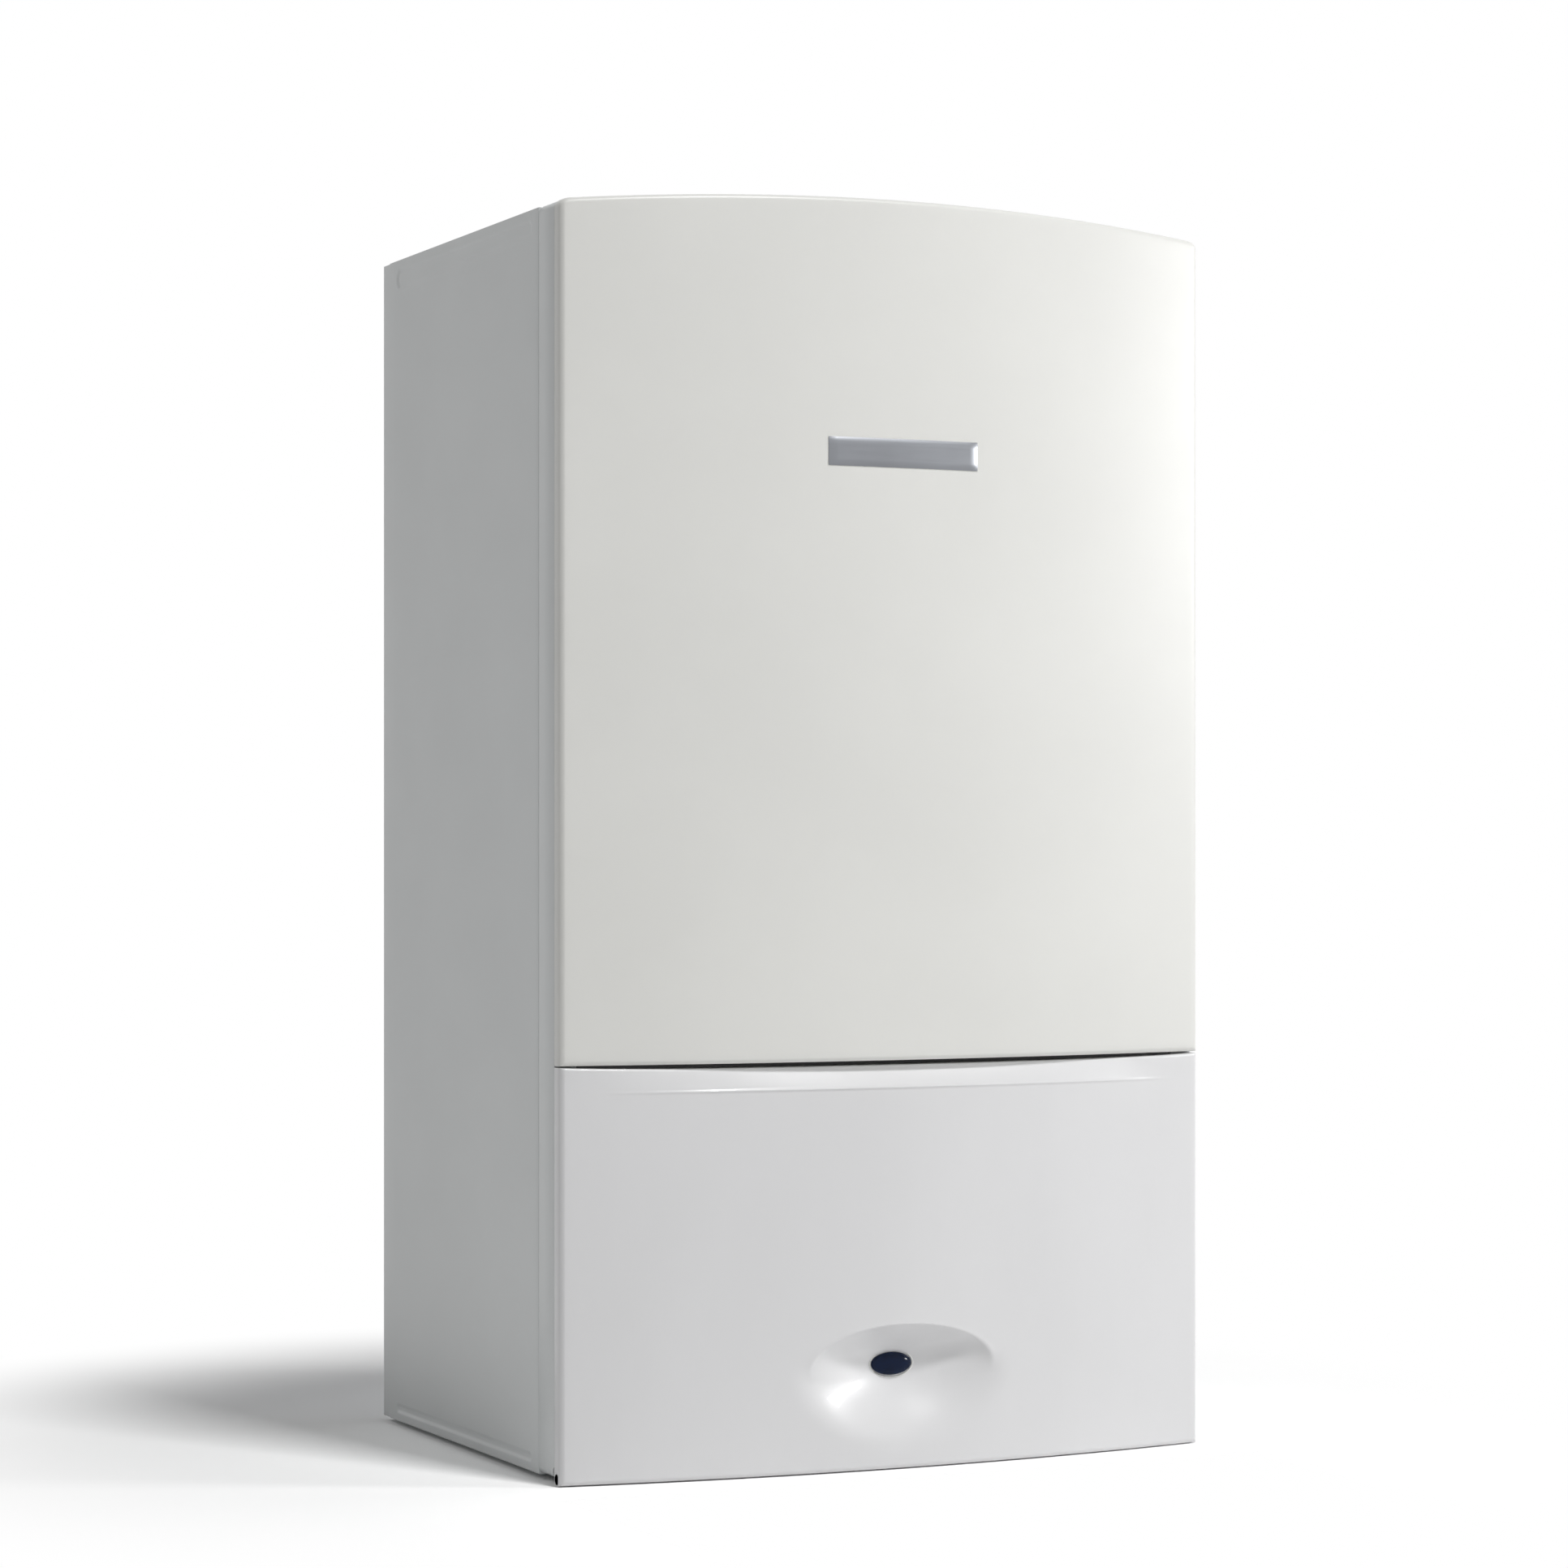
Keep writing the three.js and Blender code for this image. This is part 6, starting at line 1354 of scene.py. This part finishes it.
def make_trap():
    """Moulded condensate trap with its bands, and the ribbed hose that feeds it."""
    form = bmesh.new()
    profile = [(0.0, 0.032), (0.0155, 0.032), (0.017, 0.0335), (0.019, 0.052), (0.0212, 0.0545),
               (0.022, 0.056)]
    for band in (0.075, 0.120, 0.165):
        profile += [(0.022, band), (0.0213, band + 0.0006), (0.0213, band + 0.0034),
                    (0.022, band + 0.004)]
    profile += [(0.022, 0.2075), (0.0205, 0.2105), (0.015, 0.2155), (0.0, 0.216)]
    add_turned(form, "z", profile, TRAP, 56)
    hose = [mm(-162, -34, 212), mm(-162, -34, 276.5), mm(-30, -34, 296.5), mm(-30, -34, 336.7)]
    add_pipe(form, hose, 0.010, 0.018, 28, 10)
    for i in range(12):
        height = 0.2175 + i * 0.0032
        add_drum(form, "z", 0.0107, height, height + 0.0015, TRAP, 32, 0.0004)
    add_piece("trap_and_hose", form, "condensate_trap", smooth=34.0)


def make_gas_valve_details():
    """Coil caps, screws and a test nipple on the gas valve."""
    low, _ = extent("gas_valve")
    front = -0.0455
    coils = bmesh.new()
    for x in (0.106, 0.134):
        add_drum(coils, "y", 0.0075, low.y - 0.0004, low.y + 0.0006, (x, 0.0, 0.254), 28, 0.0003)
    add_piece("valve_coil_caps", coils, "gas_valve", "black_plastic")
    screws = bmesh.new()
    for x in (0.0965, 0.1435):
        for z in (0.2335, 0.2745):
            add_hex(screws, (x, front, z), TO_FRONT, 0.0028, 0.0024)
    add_drum(screws, "y", 0.0035, front - 0.004, front + 0.001, (0.120, 0.0, 0.2725), 24)
    add_piece("valve_screws", screws, "gas_valve", "brass", smooth=30.0)


# ---- Wires ----

def add_wire(name, node, slot, corners, radius=0.0014):
    """Adds one lead as a thin bent pipe."""
    add_piece(name, form_of(add_pipe, corners, radius, 0.012, 12, 6), node, slot)


def make_wires():
    """Leads of the fan, the pump, the diverter and the electrode, laid along the casing."""
    for i, slot in enumerate(("black_plastic", "dark_plastic")):
        near, far = 118 + i * 3.4, 180 + i * 1.7
        add_wire("fan_lead_%d" % (i + 1), "fan_motor", slot,
                 [mm(near, -84, 380), mm(near, -84, 398), mm(far, -84, 398), mm(far, -84, 222)])
    add_wire("pump_lead", "pump_motor", "dark_plastic",
             [mm(97, -28, 183), mm(97, -28, 199), mm(170, -28, 199), mm(170, -28, 232)], 0.002)
    add_wire("diverter_lead", "diverter_actuator", "dark_plastic",
             [mm(-65, -5, 128), mm(-65, -22, 128), mm(-65, -22, 112), mm(-186, -22, 112),
              mm(-186, -22, 30)], 0.0018)
    add_wire("electrode_lead", "ignition_electrode", "red_plastic",
             [mm(-88.8, -105.5, 396.1), mm(-88.8, -112, 396.1), mm(-88.8, -108, 352),
              mm(-184, -84, 340), mm(-186, -66, 300), mm(-186, -66, 30)], 0.0022)


# ---- Tray, rear and underside ----

GLAND_PLACES = (-0.090, 0.0, 0.080)


def make_tray_back():
    """Screwed lid on the back of the control tray, with its grille, ribs and cable glands."""
    face = TRAY_BACK + 0.001
    lid = bmesh.new()
    add_block(lid, (-0.172, TRAY_BACK - 0.0002, 0.022), (0.172, face, 0.195), 0.0007)
    for x in (-0.130, 0.030, 0.130):
        add_block(lid, (x - 0.0012, face - 0.0002, 0.036), (x + 0.0012, face + 0.0007, 0.181),
                  0.0004)
    for i in range(11):
        z = 0.108 + i * 0.0062
        add_block(lid, (-0.112, face - 0.0002, z), (-0.018, face + 0.0009, z + 0.0028), 0.0005)
    add_piece("tray_lid", lid, "control_tray", "grey_plastic", smooth=30.0)
    grille = bmesh.new()
    add_block(grille, (-0.114, face - 0.0003, 0.105), (-0.016, face + 0.0002, 0.176), 0.0002)
    add_piece("tray_grille", grille, "control_tray", "black_plastic")
    screws = bmesh.new()
    for x in (-0.164, -0.055, 0.055, 0.164):
        for z in (0.030, 0.187):
            add_screw(screws, (x, face, z), TO_BACK, 0.0030)
    add_piece("tray_screws", screws, "control_tray", "stainless")
    glands = bmesh.new()
    for x in GLAND_PLACES:
        shape = [(0.0, face + 0.0016), (0.0040, face + 0.0022), (0.0066, face + 0.0018),
                 (0.0074, face + 0.0006), (0.0074, face - 0.0004), (0.0, face - 0.0004)]
        add_turned(glands, "y", shape, (x, 0.0, 0.052), 32)
    add_piece("tray_glands", glands, "control_tray", "black_plastic")
    for i, x in enumerate(GLAND_PLACES):
        lead = bmesh.new()
        route = [(x, 0.056), (x, 0.036), (x + 0.012, 0.030), (x + 0.012, 0.013)]
        add_pipe(lead, [(across, face + 0.0024, z) for across, z in route], 0.002, 0.008, 14, 6)
        add_piece("tray_lead_%d" % (i + 1), lead, "control_tray", "dark_plastic")


def make_block_details():
    """Hexagon plugs and screws on the brass blocks, and the pump's turned volute."""
    plugs = bmesh.new()
    for x in (-0.130, 0.065):
        add_hex(plugs, (x, -0.018, BOSS_Z), TO_FRONT, 0.0100, 0.0060)
    for side in (-1.0, 1.0):
        add_hex(plugs, (side * 0.0975, BLOCK_FRONT, 0.080), TO_FRONT, 0.0075, 0.0045)
    add_piece("block_plugs", plugs, "flow_block", "brass", smooth=25.0)
    screws = bmesh.new()
    for x in (-0.1485, -0.0465, 0.0465, 0.1485):
        for z in (0.0535, 0.0885):
            add_hex(screws, (x, BLOCK_FRONT, z), TO_FRONT, 0.0026, 0.0022)
    add_piece("block_screws", screws, "flow_block", "stainless", smooth=25.0)
    volute = bmesh.new()
    profile = [(0.038, -0.0021), (0.0412, -0.0021), (0.0426, -0.0008), (0.0426, 0.0100),
               (0.0434, 0.0112), (0.0434, 0.0260), (0.0426, 0.0272), (0.0426, 0.0405),
               (0.0412, 0.0420), (0.038, 0.0420), (0.038, -0.0021)]
    add_turned(volute, "y", profile, PUMP, 72)
    add_drum(volute, "z", 0.0136, 0.168, 0.1835, (PUMP.x, TAIL_Y, 0.0), 40, 0.0008)
    add_piece("pump_volute", volute, "return_block", "brass", smooth=34.0)


def make_rear_and_base():
    """Fixings of the hanging rail and of the casing, and grommets round the tails."""
    rail = bmesh.new()
    for x in (-0.110, -0.040, 0.040, 0.110):
        for z in (0.573, 0.634):
            add_hex(rail, (x, 0.163, z), TO_FRONT, 0.0042, 0.0034)
    add_piece("rail_fixings", rail, "hanging_rail", "stainless", smooth=25.0)
    casing = bmesh.new()
    for side in (-1.0, 1.0):
        for z in (0.060, 0.240, 0.460, 0.660):
            add_screw(casing, (side * 0.1935, CASE_BACK, z), TO_BACK, 0.0032)
            add_screw(casing, (side * 0.180, CASE_BACK, z), TO_BACK, 0.0032)
    add_piece("rear_screws", casing, "back_panel", "stainless")
    grommets = bmesh.new()
    for step in (-2, -1, 0, 1, 2):
        inner = 0.0168 if step else 0.0148
        ring = [(inner, 0.0237), (inner + 0.003, 0.0231), (inner + 0.0042, 0.0239),
                (inner, 0.0239), (inner, 0.0237)]
        add_turned(grommets, "z", ring, (step * TAIL_PITCH, TAIL_Y, 0.0), 40)
    add_piece("base_grommets", grommets, "base_plate", "black_plastic")


def make_flap_ribs():
    """Stiffening ribs on the flap's inner side, clear of the dish."""
    form = bmesh.new()
    for side in (-1.0, 1.0):
        for across in (0.085, 0.112, 0.139, 0.166):
            inner = bow_y(across) + 0.0019
            add_block(form, (side * across - 0.0007, inner, 0.014),
                      (side * across + 0.0007, inner + 0.0042, 0.203), 0.0003)
    add_piece("flap_ribs", form, "control_flap", "flap_plastic")


# ---- Stage ----

def stage_ray(finish):
    """1 for rays that look for the background: straight, mirrored or through glass."""
    path = finish.node("LightPath", output="Is Camera Ray")
    glossy = finish.node("LightPath", output="Is Glossy Ray")
    through = finish.node("LightPath", output="Is Transmission Ray")
    return path.at_least(glossy).at_least(through)


WORLD_LIGHT = 0.12
FLOOR_GLARE = 1.75
WHITE_FROM = 0.27
WHITE_BY = 0.57
# The open flap hangs lower than the floor and shows through it here.
WINDOW_DEPTH = (0.172, 0.190)
WINDOW_SIDE = (0.205, 0.235)


def lay_floor():
    """Pale floor that takes the shadow near the boiler and runs out into the white."""
    form = bmesh.new()
    bmesh.ops.create_grid(form, x_segments=1, y_segments=1, size=9.0)
    bmesh.ops.translate(form, verts=form.verts, vec=(0.0, 0.0, -0.0006))
    mesh = bpy.data.meshes.new("floor")
    form.to_mesh(mesh)
    form.free()
    floor = bpy.data.objects.new("floor", mesh)
    SCENE.collection.objects.link(floor)
    finish = Finish("floor")
    seen = stage_ray(finish)
    tone = finish.between(finish.noise(4.0), 0.86, 0.88) * finish.between(seen, 1.0, FLOOR_GLARE)
    colour = finish.node("CombineColor", None, {0: tone, 1: tone, 2: tone})
    lit = finish.node("BsdfDiffuse", None, {"Color": colour})
    white = finish.node("Emission", None, {"Color": (1.0, 1.0, 1.0), "Strength": 1.0})
    point = finish.place(centre=(0.05, -0.05, 0.0))
    reach = finish.node("VectorMath", {"operation": "LENGTH"}, {0: point}, "Value")
    far = finish.step(reach, WHITE_FROM, WHITE_BY) * seen
    mixed = finish.node("MixShader", None, {0: far, 1: lit, 2: white})
    clear = finish.node("BsdfTransparent", None, {"Color": (1.0, 1.0, 1.0)})
    shadow = finish.node("LightPath", output="Is Shadow Ray")
    spot = finish.place()
    across = finish.node("Math", {"operation": "ABSOLUTE"},
                         {0: finish.node("SeparateXYZ", None, {0: spot}, "X")})
    ahead = finish.node("SeparateXYZ", None, {0: spot}, "Y") * -1.0
    window = finish.step(ahead, *WINDOW_DEPTH) * (1.0 - finish.step(across, *WINDOW_SIDE))
    opened = finish.node("MixShader", None,
                         {0: window * seen.at_least(shadow), 1: mixed, 2: clear})
    finish.feed(finish.tree.nodes["Material Output"].inputs["Surface"], opened)
    mesh.materials.append(finish.material)


def light_the_world():
    """White to the eye and to mirrors, and a weaker even light on surfaces."""
    world = bpy.data.worlds.new("studio")
    SCENE.world = world
    world.use_nodes = True
    finish = Finish.__new__(Finish)
    finish.tree = world.node_tree
    backdrop = world.node_tree.nodes["Background"]
    finish.feed(backdrop.inputs["Color"], (1.0, 1.0, 1.0))
    finish.feed(backdrop.inputs["Strength"], finish.between(stage_ray(finish), WORLD_LIGHT, 1.0))


# ---- The whole scene ----

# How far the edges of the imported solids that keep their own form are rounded.
EDGE_WIDTH = {"flow_block": 0.0012, "return_block": 0.0012, "plate_heat_exchanger": 0.0012,
              "gas_valve": 0.0015, "control_tray": 0.0008, "front_frame": 0.0004}

add_camera()
light_the_studio()
light_the_world()
lay_floor()
make_cover()
make_flap()
make_hinge_barrel()
make_badge()
make_lens()
make_lens_ring()
make_joint_seal()
make_side_panel("side_panel_left", -1.0)
make_side_panel("side_panel_right", 1.0)
make_fascia_print()
for knob, across in KNOB_PLACES.items():
    make_knob(knob, across)
make_gauge()
make_display_figures()
make_button_marks()
make_switch_marks()
make_fascia_screws()
make_pipe_runs()
make_drum()
make_door()
make_electrode()
make_fan()
make_air_and_mixer()
make_vessel()
make_flue_parts()
make_tails()
make_pump()
make_valve_heads()
make_relief_knob()
make_trap()
make_gas_valve_details()
make_wires()
make_tray_back()
make_block_details()
make_rear_and_base()
make_flap_ribs()
for node in NODES:
    if not NODES[node].hide_render:
        settle(node, EDGE_WIDTH.get(node, 0.0))
